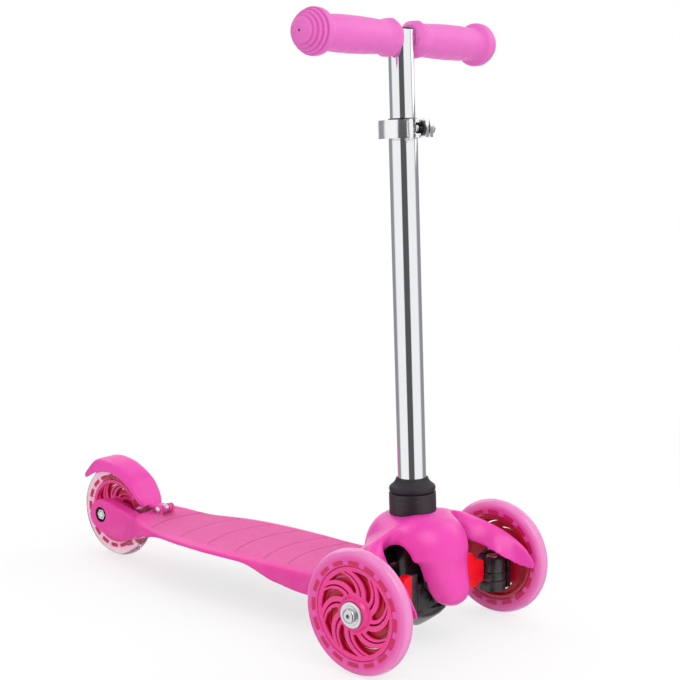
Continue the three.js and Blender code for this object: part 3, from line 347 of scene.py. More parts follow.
def prism(name, outline, start, end, along, place=None):
    """An outline drawn out along X, Y or Z; its points are pairs on the two other axes, in that order."""
    axis = "XYZ".index(along)
    rows = [[(*pair[:axis], depth, *pair[axis:]) for pair in outline] for depth in (start, end)]
    return build(name, *skin(rows, caps=True), place)


def block(name, x0, x1, y0, y1, z0, z1):
    return prism(name, [(x0, y0), (x1, y0), (x1, y1), (x0, y1)], z0, z1, "Z")


def rod(name, outline, place, steps=96, wobble=None):
    return build(name, *turned(outline, steps, wobble), place)


def cylinder(name, radius, low, high, place, steps):
    return rod(name, [(0, low), (radius, low), (radius, high), (0, high)], place, steps)


def sheet_with_holes(name, outlines, low, high, edge, place):
    """A flat plate with rounded edges: the first outline is its rim, the others are holes in it."""
    curve = bpy.data.curves.new(name, "CURVE")
    curve.dimensions = "2D"
    curve.fill_mode = "BOTH"
    curve.extrude = (high - low) / 2 - edge
    curve.bevel_depth = edge
    curve.bevel_resolution = 2
    for outline in outlines:
        line = curve.splines.new("POLY")
        line.points.add(len(outline) - 1)
        for point, (x, y) in zip(line.points, outline):
            point.co = (x, y, 0, 1)
        line.use_cyclic_u = True
    drawn = link(name, curve)
    mesh = evaluated_mesh(drawn)
    drop(drawn)
    points = np.array([v.co for v in mesh.vertices]) + np.array([0, 0, (low + high) / 2])
    faces = [tuple(face.vertices) for face in mesh.polygons]
    return build(name, points, faces, place)


# Nodes and shared effects

class Recipe:
    """Adds nodes to a tree, and links or sets their sockets."""

    def __init__(self, tree):
        self.tree = tree

    def put(self, value, socket):
        if isinstance(value, bpy.types.NodeSocket):
            self.tree.links.new(value, socket)
        else:
            socket.default_value = value

    def node(self, kind, settings=(), **inputs):
        made = self.tree.nodes.new(kind)
        for key, value in dict(settings).items():
            setattr(made, key, value)
        for key, value in inputs.items():
            self.put(value, made.inputs[key.replace("_", " ")])
        return made

    def math(self, operation, a, b=0.0, clamp=False):
        made = self.node("ShaderNodeMath", {"operation": operation, "use_clamp": clamp})
        self.put(a, made.inputs[0])
        self.put(b, made.inputs[1])
        return made.outputs[0]

    def times(self, a, b, clamp=False):
        return self.math("MULTIPLY", a, b, clamp)

    def plus(self, a, b, clamp=False):
        return self.math("ADD", a, b, clamp)

    def mix(self, share, a, b, blend="MIX"):
        made = self.node("ShaderNodeMix", {"data_type": "RGBA", "blend_type": blend})
        for value, index in ((share, 0), (a, 6), (b, 7)):
            self.put(value, made.inputs[index])
        return made.outputs[2]

    def blend(self, share, first, second):
        """A mix of two shaders."""
        made = self.node("ShaderNodeMixShader")
        for value, socket in zip((share, first, second), made.inputs):
            self.put(value, socket)
        return made.outputs[0]

    def span(self, value, low, high, to_low=0.0, to_high=1.0):
        made = self.node("ShaderNodeMapRange", {"interpolation_type": "SMOOTHSTEP"}, Value=value)
        for name, number in (("From Min", low), ("From Max", high), ("To Min", to_low), ("To Max", to_high)):
            self.put(number, made.inputs[name])
        return made.outputs[0]

    def place(self):
        return self.node("ShaderNodeTexCoord").outputs["Object"]

    def noise(self, scale, detail=2.0, place=None):
        made = self.node("ShaderNodeTexNoise", Vector=place or self.place(), Scale=scale, Detail=detail)
        return made.outputs[0]


WHITE = (1, 1, 1, 1)


def effect(name, inputs, *outputs):
    """An empty node group with named sockets: its recipe, its input sockets and its output sockets."""
    tree = bpy.data.node_groups.new(name, "ShaderNodeTree")

    def add(label, way):
        kind = "NodeSocketColor" if "Color" in label else "NodeSocketFloat"
        return tree.interface.new_socket(name=label, in_out=way, socket_type=kind)

    for label, value in inputs.items():
        add(label, "INPUT").default_value = value
    for label in outputs:
        add(label, "OUTPUT")
    recipe = Recipe(tree)
    return recipe, recipe.node("NodeGroupInput").outputs, recipe.node("NodeGroupOutput").inputs


def use(recipe, group, **inputs):
    made = recipe.node("ShaderNodeGroup", {"node_tree": group})
    for key, value in inputs.items():
        recipe.put(value, made.inputs[key.replace("_", " ")])
    return made.outputs


def make_uneven_tone():
    """Slow changes of colour, as in moulded plastic."""
    recipe, given, out = effect("uneven tone", {"Color": WHITE, "Scale": 20.0, "Amount": 0.1}, "Color")
    cloud = recipe.span(recipe.noise(given["Scale"], 3.0), 0.3, 0.7)
    darker = recipe.mix(1.0, given["Color"], (0.62, 0.58, 0.62, 1), "MULTIPLY")
    recipe.put(recipe.mix(recipe.times(cloud, given["Amount"]), given["Color"], darker), out["Color"])
    return recipe.tree


def make_edge_rub_and_sheen():
    """Where hands and boxes rub: a paler colour on edges that stand out, as wear; in the wheel cores the same
    mark is a painted highlight on the rib edges.
    """
    recipe, given, out = effect("edge rub and sheen", {"Color": WHITE, "Rubbed Color": WHITE, "Amount": 0.3}, "Color")
    point = recipe.node("ShaderNodeNewGeometry").outputs["Pointiness"]
    edge = recipe.span(point, 0.52, 0.6)
    patchy = recipe.span(recipe.noise(140.0, 4.0), 0.4, 0.65)
    mask = recipe.times(recipe.times(edge, patchy), given["Amount"], clamp=True)
    recipe.put(recipe.mix(mask, given["Color"], given["Rubbed Color"]), out["Color"])
    return recipe.tree


def make_floor_dust():
    """A trace of dust that gathers low down."""
    recipe, given, out = effect("floor dust", {"Color": WHITE, "Amount": 0.2, "Top": 0.12}, "Color", "Mask")
    geometry = recipe.node("ShaderNodeNewGeometry")
    height = recipe.node("ShaderNodeSeparateXYZ", Vector=geometry.outputs["Position"]).outputs["Z"]
    low = recipe.math("SUBTRACT", 1.0, recipe.math("DIVIDE", height, given["Top"]), clamp=True)
    patchy = recipe.span(recipe.noise(60.0, 5.0), 0.35, 0.75)
    mask = recipe.times(recipe.times(low, patchy), given["Amount"], clamp=True)
    recipe.put(recipe.mix(mask, given["Color"], (0.55, 0.5, 0.47, 1)), out["Color"])
    recipe.put(mask, out["Mask"])
    return recipe.tree


def make_moulded_grain():
    """The fine pebbled skin of moulded plastic and rubber, as a height and as a roughness."""
    recipe, given, out = effect("moulded grain", {"Scale": 900.0, "Roughness": 0.5, "Spread": 0.08},
                                "Height", "Roughness")
    place = recipe.place()
    cells = recipe.node("ShaderNodeTexVoronoi", {"feature": "SMOOTH_F1"}, Vector=place, Scale=given["Scale"])
    fine = recipe.noise(recipe.times(given["Scale"], 2.0), 2.0, place)
    height = recipe.plus(cells.outputs["Distance"], recipe.times(fine, 0.4))
    recipe.put(height, out["Height"])
    patch = recipe.math("SUBTRACT", recipe.noise(35.0, 4.0, place), 0.5)
    spread = recipe.times(patch, recipe.times(given["Spread"], 2.0))
    recipe.put(recipe.plus(given["Roughness"], spread, clamp=True), out["Roughness"])
    return recipe.tree


def make_handling_marks():
    """Faint wiping marks in a polished finish, as a roughness and a height."""
    recipe, given, out = effect("handling marks", {"Roughness": 0.1, "Amount": 0.1}, "Roughness", "Height")
    place = recipe.place()
    stretch = recipe.node("ShaderNodeMapping", Vector=place, Scale=(900, 900, 40))
    streaks = recipe.node("ShaderNodeTexNoise", Vector=stretch.outputs[0], Scale=1.0, Detail=3.0)
    smear = recipe.span(recipe.noise(28.0, 5.0, place), 0.45, 0.8)
    both = recipe.times(smear, streaks.outputs[0])
    rough = recipe.times(both, given["Amount"])
    recipe.put(recipe.plus(given["Roughness"], rough, clamp=True), out["Roughness"])
    recipe.put(streaks.outputs[0], out["Height"])
    return recipe.tree


UNEVEN_TONE = make_uneven_tone()
EDGE_RUB_AND_SHEEN = make_edge_rub_and_sheen()
FLOOR_DUST = make_floor_dust()
MOULDED_GRAIN = make_moulded_grain()
HANDLING_MARKS = make_handling_marks()


# Finishes

def from_screen(red, green, blue):
    """A colour as it is seen on a screen, 0 to 255, turned into light."""
    def channel(value):
        share = value / 255
        return share / 12.92 if share <= 0.04045 else ((share + 0.055) / 1.055) ** 2.4
    return (channel(red), channel(green), channel(blue), 1.0)


def finish(name, **constants):
    """A material with its recipe and its Principled shader; constants are set on the shader's own sockets."""
    material = bpy.data.materials.new(name)
    material.use_nodes = True
    shader = material.node_tree.nodes["Principled BSDF"]
    for key, value in constants.items():
        shader.inputs[key.replace("_", " ")].default_value = value
    return material, Recipe(material.node_tree), shader.inputs


def bumped(recipe, sockets, height, distance, strength=0.5):
    bump = recipe.node("ShaderNodeBump", Height=height, Distance=distance, Strength=strength)
    recipe.put(bump.outputs[0], sockets["Normal"])


def stored(recipe, name):
    return recipe.node("ShaderNodeAttribute", {"attribute_name": name}).outputs["Fac"]


def worn_and_sheened(recipe, color, scale, tone, rubbed, rub):
    """The colour with an uneven tone and with paler edges: rubbing wear, and in the wheel cores a painted
    highlight on the rib edges.
    """
    toned = use(recipe, UNEVEN_TONE, Color=color, Scale=scale, Amount=tone)
    return use(recipe, EDGE_RUB_AND_SHEEN, Color=toned["Color"], Rubbed_Color=rubbed, Amount=rub)["Color"]


def plastic(name, color, roughness, spread=0.06, grain=900.0, grain_depth=0.00003, tone=0.1,
            rubbed=None, rub=0.25, dust=0.0, **constants):
    """Moulded plastic or rubber with grain, uneven tone, rubbed edges and a little dust."""
    material, recipe, sockets = finish(name, **constants)
    dusty = use(recipe, FLOOR_DUST, Color=worn_and_sheened(recipe, color, 14.0, tone, rubbed or color, rub), Amount=dust)
    pebbled = use(recipe, MOULDED_GRAIN, Scale=grain, Roughness=roughness, Spread=spread)
    recipe.put(dusty["Color"], sockets["Base Color"])
    recipe.put(recipe.plus(pebbled["Roughness"], dusty["Mask"], clamp=True), sockets["Roughness"])
    bumped(recipe, sockets, pebbled["Height"], grain_depth)
    return material


def metal(name, color, roughness, marks=0.12, tone=0.12, corner_color=(0.25, 0.24, 0.23, 1), **constants):
    """Polished or plated metal with wiping marks and darker corners."""
    material, recipe, sockets = finish(name, Metallic=1.0, **constants)
    toned = use(recipe, UNEVEN_TONE, Color=color, Scale=30.0, Amount=tone)
    # the colour turns darker in hollow corners, found from how pointed the surface is
    point = recipe.node("ShaderNodeNewGeometry").outputs["Pointiness"]
    corner = recipe.span(point, 0.42, 0.49, 0.7, 0.0)
    recipe.put(recipe.mix(corner, toned["Color"], corner_color), sockets["Base Color"])
    marked = use(recipe, HANDLING_MARKS, Roughness=roughness, Amount=marks)
    recipe.put(marked["Roughness"], sockets["Roughness"])
    bumped(recipe, sockets, marked["Height"], 0.00001, 0.15)
    return material


COVER_PINK = from_screen(238, 64, 176)
DEEP_RED = from_screen(196, 0, 44)
CORE_PINK = from_screen(240, 46, 142)

cover_pink = plastic("cover pink", COVER_PINK, 0.32, grain=700.0, grain_depth=0.000012, tone=0.08,
                     rubbed=from_screen(250, 140, 205), dust=0.1, Coat_Weight=0.15, Coat_Roughness=0.2,
                     Specular_IOR_Level=0.35)
disc_red = plastic("disc red", DEEP_RED, 0.4, tone=0.3, rubbed=from_screen(240, 70, 110), rub=0.3)
rim_dash_red = plastic("rim dash red", from_screen(206, 20, 84), 0.45, tone=0.15)
arm_red = plastic("arm red", from_screen(250, 0, 34), 0.3, grain_depth=0.00001, tone=0.1,
                  rubbed=from_screen(255, 70, 80), dust=0.05, Specular_IOR_Level=0.25)
black_plastic = plastic("black plastic", from_screen(24, 20, 24), 0.24, grain_depth=0.00003, tone=0.3,
                        rubbed=from_screen(70, 64, 72), rub=0.35, dust=0.1)
collar_black = plastic("collar black", from_screen(40, 30, 38), 0.42, grain=1100.0, grain_depth=0.00004,
                       tone=0.25, rubbed=from_screen(96, 90, 96), rub=0.35)
grip_pink = plastic("grip pink", from_screen(230, 106, 194), 0.5, spread=0.1, grain=1300.0,
                    grain_depth=0.00005, tone=0.12, rubbed=from_screen(250, 170, 220), rub=0.3)
black_rubber = plastic("black rubber", from_screen(36, 30, 39), 0.62, grain=1200.0, grain_depth=0.00005,
                       tone=0.3, rubbed=from_screen(80, 76, 80), rub=0.4)
chrome = metal("chrome", (0.86, 0.87, 0.89, 1), 0.07, marks=0.14, tone=0.05)
clamp_metal = metal("clamp metal", (0.92, 0.92, 0.93, 1), 0.16, marks=0.3, tone=0.15)
bright_steel = metal("bright steel", (0.74, 0.75, 0.77, 1), 0.22, marks=0.35, tone=0.2)
bearing_steel = metal("bearing steel", (0.6, 0.61, 0.64, 1), 0.3, marks=0.3, tone=0.2)


def make_core_pink():
    """Pink on the outside, turning deep red with depth below the face as painted shade down in the openings
    and slits; its paler red edges are a painted highlight on the rib edges.
    """
    material, recipe, sockets = finish("core pink", Coat_Weight=0.3, Coat_Roughness=0.15)
    # painted shade: the colour turns deep red with depth below the face
    deep = recipe.span(stored(recipe, "depth"), 0.7, 2.6)
    color = recipe.mix(deep, CORE_PINK, DEEP_RED)
    # painted highlight: the strong paler red on the edges stands for light on the rib edges
    recipe.put(worn_and_sheened(recipe, color, 40.0, 0.12, from_screen(252, 86, 128), 0.8), sockets["Base Color"])
    pebbled = use(recipe, MOULDED_GRAIN, Scale=800.0, Roughness=0.34, Spread=0.06)
    recipe.put(pebbled["Roughness"], sockets["Roughness"])
    bumped(recipe, sockets, pebbled["Height"], 0.00001)
    return material


def make_clear_tyre(name, clearness, outer_color, inner_color, reach):
    """Cast see-through rubber: deeper in colour at the wheel, paler at the tread, scuffed where it rolls."""
    material, recipe, sockets = finish(name, Transmission_Weight=clearness, IOR=1.38, Coat_Weight=0.35,
                                       Coat_Roughness=0.12)
    depth = stored(recipe, "depth")
    edge = recipe.span(depth, 0.0, reach)
    color = recipe.mix(edge, outer_color, inner_color)
    toned = use(recipe, UNEVEN_TONE, Color=color, Scale=24.0, Amount=0.1)
    scuffs = recipe.span(recipe.noise(220.0, 5.0), 0.5, 0.72)
    tread = recipe.span(depth, 0.9, 0.1)
    scuffed = recipe.times(scuffs, tread)
    dulled = recipe.mix(recipe.times(scuffed, 0.35), toned["Color"], from_screen(190, 150, 170))
    recipe.put(dulled, sockets["Base Color"])
    recipe.put(recipe.plus(0.14, recipe.times(scuffed, 0.4)), sockets["Roughness"])
    bumped(recipe, sockets, recipe.noise(60.0, 3.0), 0.00015, 0.3)
    return material


def make_deck_pink():
    """Matt, finely pebbled tread with darker grooves; the rim and the fork arms are smooth."""
    material, recipe, sockets = finish("deck pink", Specular_IOR_Level=0.35)
    tread = stored(recipe, "tread")
    groove = stored(recipe, "groove")
    color = recipe.mix(tread, from_screen(234, 58, 162), from_screen(223, 84, 158))
    grooved = recipe.mix(recipe.times(groove, 0.75), color, from_screen(176, 44, 122))
    rubbed = worn_and_sheened(recipe, grooved, 11.0, 0.1, from_screen(246, 150, 204), 0.3)
    dusty = use(recipe, FLOOR_DUST, Color=rubbed, Amount=0.1)
    speck = recipe.span(recipe.noise(900.0, 2.0), 0.42, 0.62)
    specked = recipe.mix(recipe.times(recipe.times(speck, tread), 0.22),
                         dusty["Color"], from_screen(244, 150, 204))
    recipe.put(specked, sockets["Base Color"])
    recipe.put(recipe.span(tread, 0.0, 1.0, 0.34, 0.72), sockets["Roughness"])
    pebbled = use(recipe, MOULDED_GRAIN, Scale=620.0, Roughness=0.6, Spread=0.05)
    bumped(recipe, sockets, recipe.times(pebbled["Height"], tread), 0.00025, 0.7)
    return material


core_pink = make_core_pink()
front_clear = make_clear_tyre("front clear tyre", 0.14, from_screen(253, 150, 214),
                              from_screen(246, 84, 180), 9.0)
rear_clear = make_clear_tyre("rear clear tyre", 0.86, from_screen(250, 238, 246),
                             from_screen(246, 150, 196), 15.0)
deck_pink = make_deck_pink()


def dress(obj, body, slot, material, *nodes):
    """Gives a finished piece its body, its material and the CAD nodes that it stands for."""
    obj.data.materials.clear()
    obj.data.materials.append(material)
    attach(obj, body)
    if nodes:
        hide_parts(*nodes)
    return obj


def make_turned(node, outline, place, steps, body, slot, material, wobble=None, crease=EDGE_ANGLE):
    """A turned form that stands for one CAD node."""
    piece = rod(node + "_visual", outline, place, steps, wobble)
    return dress(shaded(piece, crease), body, slot, material, node)


# Wheels

def tyre_outline(wheel):
    half = wheel["width"] / 2
    radius, bead = wheel["radius"], wheel["bead"]
    wall = (radius + bead) / 2
    right = [(bead, half - 1.6), (bead + 1.4, half), (wall, half - 0.1), (radius - 3.6, half * 0.84),
             (radius - 1.0, half * 0.5), (radius, half * 0.12)]
    return rounded(right + [(r, -h) for r, h in reversed(right)], 3.2, 5)


def make_tyre(name, wheel, side, body, rubber):
    tyre = rod(name + "_visual", tyre_outline(wheel), on_wheel(side), 144)
    points = making_points(tyre)
    axle_y = WHEELBASE if side == "rear" else 0
    radii = np.hypot(points[:, 1] - axle_y, points[:, 2] - wheel["radius"])
    keep_value(tyre, "depth", wheel["radius"] - radii)
    dress(shaded(tyre, 50), body, "clear_tyre", rubber, name)


OPENINGS = 8
PITCH = 2 * math.pi / OPENINGS
SWIRL = 0.225 * math.pi
RIM_WALL = 3.6


def swirled(inner, outer, start, count, half_angle):
    """A hole that curves outwards from the angle start; half_angle(t, radius) is half its width."""
    edges = {-1: [], 1: []}
    for t in np.linspace(0, 1, count):
        radius = inner + (outer - inner) * t
        angle = start + SWIRL * (0.55 * t + 0.45 * t * t)
        for sign in edges:
            edges[sign].append(polar(radius, angle + sign * half_angle(t, radius)))
    return edges[-1] + edges[1][::-1]


def opening_outline(index, inner, outer, inner_share, outer_share, shift):
    """An opening between two spokes; the shares say how much of the pitch it takes up."""
    def half_angle(t, radius):
        return PITCH * (inner_share + (outer_share - inner_share) * t ** 0.8) / 2
    outline = rounded(swirled(inner, outer, index * PITCH + shift, 9, half_angle), 3.2, 3)
    return curve_through(np.vstack([outline[::3], outline[:1]]), 60)[:-1]


def slit_outline(index, inner, outer, half_width, shift):
    def half_angle(t, radius):
        return half_width * (0.75 + 0.25 * t) / radius
    return rounded(swirled(inner, outer, (index + 0.5) * PITCH + shift, 12, half_angle), 0.9, 2)


def core_face(name, wheel, side, low, high):
    """The spoked face: openings, and a slit along the middle of each spoke."""
    rim = wheel["bead"] - RIM_WALL
    scale = rim / (FRONT_WHEEL["bead"] - RIM_WALL)
    holes = []
    for index in range(OPENINGS):
        holes.append(opening_outline(index, 19.5 * scale, rim - 0.4, 0.3, 0.62, 0))
        holes.append(slit_outline(index, 18.2, rim - 1.2, 1.95, 0.02))
    return sheet_with_holes(name, [ring_outline(rim + 1.2), *holes], low, high, 0.45, on_wheel(side))


def core_rings(name, wheel, side):
    """The rim that holds the tyre, and the hub that flares out of the face."""
    half = wheel["width"] / 2
    bead = wheel["bead"] - 0.3
    rim_low, rim_high = -(half - 1.6), half - 1.6
    rim = rounded([(bead, rim_low), (bead, rim_high), (bead - 4.1, rim_high), (bead - 4.4, rim_high - 3),
                   (bead - 4.4, rim_low + 3), (bead - 4.1, rim_low)], 0.9, 3)
    face, out, inwards = wheel["face"], wheel["hub_out"], wheel["hub_in"]
    outer = [(11.3, inwards), (14.6, inwards), (15.4, min(inwards + 4, face - 3)), (16.2, face - 2.4),
             (19.2, face - 0.6), (16.6, face + 0.9), (15.2, out - 1.2), (14.4, out), (12.9, out),
             (12.6, out - 0.8), (11.3, out - 0.8)]
    hub = rounded(outer, 1.1, 3)
    place = on_wheel(side)
    return [rod(name + "_rim", rim, place, 144), rod(name + "_hub", hub, place, 96)]


def tyre_lock(name, wheel, side, low):
    """Sixteen pads cast into the tyre just outside the rim."""
    inner, outer = wheel["bead"] + 1.5, wheel["bead"] + 5.6
    count = 16
    half = 0.66 * math.pi / count
    arc = np.linspace(-half, half, 7)
    pads = []
    for index in range(count):
        start = 2 * math.pi * index / count
        points = [polar(inner, start + a) for a in arc] + [polar(outer, start + a) for a in arc[::-1]]
        pads.append(prism("pad", rounded(points, 1.2, 3), low, low + 1.0, "Z", on_wheel(side)))
    return joined(name, *pads)


def store_depth(obj, wheel, side):
    """How far each point lies below the wheel's outer face, in millimetres."""
    centre = 0 if side == "rear" else SIDES[side] * HALF_TRACK
    across = making_points(obj)[:, 0] - centre
    out = np.abs(across) if side == "rear" else across * SIDES[side]
    keep_value(obj, "depth", wheel["face"] - out)


def make_core(name, wheel, side, body):
    rings = core_rings(name, wheel, side)
    if side == "rear":
        half = 1.0
        parts = [*rings, core_face("near", wheel, side, half, wheel["face"]),
                 core_face("far", wheel, side, wheel["back"], -half)]
        disc_low, disc_high = 0.1 - half, half - 0.1
    else:
        face_low = wheel["face"] - 4.4
        parts = [core_face("face", wheel, side, face_low, wheel["face"]), *rings]
        disc_low, disc_high = wheel["back"], face_low - 0.1
    core = joined(name + "_visual", *parts)
    store_depth(core, wheel, side)
    dress(shaded(tidied(core), 35), body, "wheel_core_plastic", core_pink, name)
    rim = wheel["bead"] - RIM_WALL
    holes = [opening_outline(i, rim * 0.76, rim - 2.6, 0.2, 0.26, 0.16) for i in range(OPENINGS)]
    outlines = [ring_outline(rim + 1), *holes, ring_outline(15)]
    disc = sheet_with_holes(name + "_disc", outlines, disc_low, disc_high, 0.3, on_wheel(side))
    dress(shaded(disc, 35), body, "wheel_core_plastic", disc_red)
    for label, low in (("out", wheel["width"] / 2 - 0.88), ("in", -0.12 - wheel["width"] / 2)):
        pads = tyre_lock(f"{name}_pads_{label}", wheel, side, low)
        dress(shaded(pads, 35), body, "wheel_core_plastic", rim_dash_red)


def polygon(angle, sides):
    """How far out a polygon reaches in a direction, where its corners lie at 1."""
    sector = math.pi / sides
    return math.cos(sector) / math.cos(angle % (2 * sector) - sector)


AXLE = {"radius": 4, "head_height": 4, "front_end": 93}


def make_axle(node, side, body, end, tip, radius, socket):
    """A bolt with a button head and a six-sided socket; its ends are heights on its own axis."""
    shank, height = AXLE["radius"], AXLE["head_height"]
    base = tip - height
    outline = [
        (0, end), (shank - 0.5, end), (shank, end + 0.6), (shank, base), (radius, base),
        (radius, base + height * 0.45), (radius * 0.96, base + height * 0.66),
        (radius * 0.86, base + height * 0.86), (radius * 0.7, tip - 0.04), (socket * 1.25, tip),
        (socket, tip - 0.25), (socket * 0.98, tip - height * 0.6), (0, tip - height * 0.62),
    ]
    socket_rows = (len(outline) - 3, len(outline) - 2)

    def wobble(angle, row):
        return polygon(angle, 6) if row in socket_rows else 1

    make_turned(node, outline, on_wheel(side), 96, body, "bright_steel", bright_steel, wobble)


def make_front_washer(side, top):
    low = top - 1.4
    outline = rounded([(4.3, low), (12.6, low), (12.6, low + 0.9), (11.9, top), (9.4, top), (9.0, low + 1.1),
                       (7.6, low + 1.1), (7.3, top), (4.3, top)], 0.25, 2)
    make_turned("front_washer_" + side, outline, on_wheel(side), 96, side + "_knuckle", "bright_steel",
                bright_steel)


for side, sign in SIDES.items():
    make_tyre("front_tyre_" + side, FRONT_WHEEL, side, side + "_wheel", front_clear)
    make_core("front_core_" + side, FRONT_WHEEL, side, side + "_wheel")
    low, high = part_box("front_axle_" + side)
    tip = sign * (high.x if sign > 0 else low.x) / MM - HALF_TRACK
    make_axle("front_axle_" + side, side, side + "_knuckle", AXLE["front_end"] - HALF_TRACK, tip, 6.9, 2.2)
    make_front_washer(side, tip - AXLE["head_height"] - 0.3)
make_tyre("rear_tyre", REAR_WHEEL, "rear", "back_wheel", rear_clear)
make_core("rear_core", REAR_WHEEL, "rear", "back_wheel")
low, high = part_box("rear_axle")
make_axle("rear_axle", "rear", "chassis", low.x / MM, high.x / MM, 6.5, 3.3)


# Front cover

DOME = {"y": 20, "radius": 53.5, "bottom": 44, "top": 127.6, "wall": 2.6, "hole": 15.2}
# up from the dome's foot; out from its middle
DOME_SHARES = [(0, 1), (0.4, 1), (0.53, 0.985), (0.64, 0.955), (0.73, 0.925), (0.81, 0.87), (0.89, 0.785),
               (0.945, 0.69), (0.985, 0.56), (1, 0.33)]
NOSE = {"bottom": 43, "top": 104, "half_width": 40, "reach": 59.5, "arch_top": 90}
# height; half width; lip and front, both ahead of the dome's middle
NOSE_SHARES = [
    (0, 0.17, 0.8, 0.855), (0.05, 0.4, 0.735, 0.91), (0.115, 0.55, 0.675, 0.965), (0.21, 0.63, 0.62, 0.992),
    (0.36, 0.71, 0.555, 0.955), (0.525, 0.79, 0.52, 0.895), (0.64, 0.83, 0.5, 0.865),
    (0.77, 0.875, 0.47, 0.835), (1, 1, 0.4, 0.77),
]
# the opening seen from the side: back from the dome's middle; up
ARCH_SHARES = [
    (-0.735, 0.05), (-0.675, 0.085), (-0.62, 0.155), (-0.555, 0.265), (-0.52, 0.385), (-0.49, 0.5),
    (-0.445, 0.59), (-0.38, 0.675), (-0.28, 0.735), (-0.16, 0.752), (-0.04, 0.725), (0.07, 0.655),
    (0.15, 0.58), (0.22, 0.46), (0.27, 0.34), (0.3, 0.2),
]
SKIRT_REAR = 72
WING = {"x": 102, "ahead": 58, "z": 121, "room_reach": 0.9, "room_wall": 0.6, "room_foot": 6.0}
# a wing's front edge, its highest line and its rear edge: across; ahead of the front axle; up
LIP_SHARES = [
    (0, 0.379, 0.909), (0.235, 0.172, 0.876), (0.42, -0.3, 0.84), (0.51, -0.46, 0.83),
    (0.608, -0.36, 0.78), (0.647, -0.034, 0.719), (0.69, 0.109, 0.686), (0.728, 0.497, 0.607),
    (0.847, 0.652, 0.533), (0.922, 0.819, 0.485), (0.971, 0.966, 0.479),
]
CREST_SHARES = [
    (0, -0.069, 1.083), (0.196, -0.103, 1.078), (0.353, -0.155, 1.048), (0.49, -0.207, 1.012),
    (0.627, -0.241, 0.975), (0.745, -0.233, 0.936), (0.853, -0.017, 0.872), (0.902, 0.276, 0.81),
    (0.941, 0.552, 0.744), (0.971, 0.81, 0.661), (0.99, 1, 0.545),
]
HEEL_SHARES = [
    (0, -0.724, 0.959), (0.235, -0.793, 0.909), (0.412, -0.862, 0.843), (0.549, -0.862, 0.793),
    (0.686, -0.776, 0.76), (0.784, -0.655, 0.76), (0.931, -0.207, 0.76), (0.971, 0.138, 0.748),
    (0.99, 0.431, 0.694), (1, 0.724, 0.595), (1, 0.931, 0.496),
]
WING_STATIONS = 56
WING_ARC = 14
# voxel sizes, and how long and how far from a seam the creases between the forms are filled
COVER_MELT = {"rough": 1.4, "filled": 1.1, "final": 0.85, "fill_rounds": 520, "fill_reach": 46}
FAR = 300


def dome_form(name, inset):
    rise = DOME["top"] - DOME["bottom"] - inset
    side = curve_through([(DOME["radius"] * out - inset, DOME["bottom"] + rise * up)
                          for up, out in DOME_SHARES], 48)
    outline = [(0, DOME["bottom"]), *side.tolist(), (0, DOME["top"] - inset)]
    return rod(name, outline, Matrix.Translation((0, DOME["y"], 0)), 120)


def nose_form(name, inset):
    rows = []
    for up, wide, lip, front in curve_through(NOSE_SHARES, 49):
        z = NOSE["bottom"] + (NOSE["top"] - NOSE["bottom"]) * up
        lip_y = DOME["y"] - NOSE["reach"] * lip
        ahead = NOSE["reach"] * (front - lip) - inset
        across = NOSE["half_width"] * wide - inset
        row = []
        for angle in around(72):
            depth = max(across, ahead) if math.sin(angle) < 0 else ahead
            row.append((across * math.cos(angle), lip_y - depth * math.sin(angle), z))
        rows.append(row)
    return build(name, *skin(rows, caps=True))


def wing_curve(shares):
    scale = np.array([WING["x"], -WING["ahead"], WING["z"]])
    return curve_through(np.array(shares) * scale, WING_STATIONS)


def wing_form(name, inset):
    """Both wings; with an inset, the room under them, which ends before their tips."""
    lips, crests, heels = (wing_curve(shares) for shares in (LIP_SHARES, CREST_SHARES, HEEL_SHARES))
    below = np.array([0, 0, -WING["room_foot"]])
    rows = []
    for lip, crest, heel in zip(lips, crests, heels):
        if inset and lip[0] > WING["room_reach"] * WING["x"]:
            break
        centre = (lip + heel) / 2
        control = 2 * crest - centre
        arc = []
        for t in np.linspace(0, 1, WING_ARC):
            point = (1 - t) ** 2 * lip + 2 * t * (1 - t) * control + t ** 2 * heel
            inward = centre - point
            reach = np.linalg.norm(inward)
            step = min(inset, reach * WING["room_wall"])
            arc.append(point + inward / max(reach, 1e-9) * step)
        if inset:
            arc = [arc[0] + below, *arc, arc[-1] + below]
        rows.append(arc)
    rows = np.array(rows)
    mirrored = rows[:0:-1] * np.array([-1, 1, 1])
    return build(name, *skin(np.vstack([mirrored, rows]), caps=True))


def arch_outlines():
    """Outlines seen from the side: the arch, and what is cut away under the dome and under its room."""
    outline = curve_through([(DOME["y"] + NOSE["reach"] * back,
                              NOSE["bottom"] + (DOME["top"] - NOSE["bottom"]) * up)
                             for back, up in ARCH_SHARES], 90)
    low = NOSE["bottom"] - FAR / 10
    outline = np.vstack([[outline[0][0], low], outline, [outline[-1][0], low]])
    ahead = DOME["y"] - NOSE["reach"] - DOME["radius"]
    ridge = outline[np.argmax(outline[:, 1] > NOSE["arch_top"]):]
    under = np.vstack([[ahead, low], [ahead, ridge[0][1]], ridge])
    shelf = ridge[0][1] + DOME["wall"]
    under_room = np.vstack([[ahead, low], [ahead, shelf], [ridge[0][0], shelf], ridge])
    return outline, under, under_room


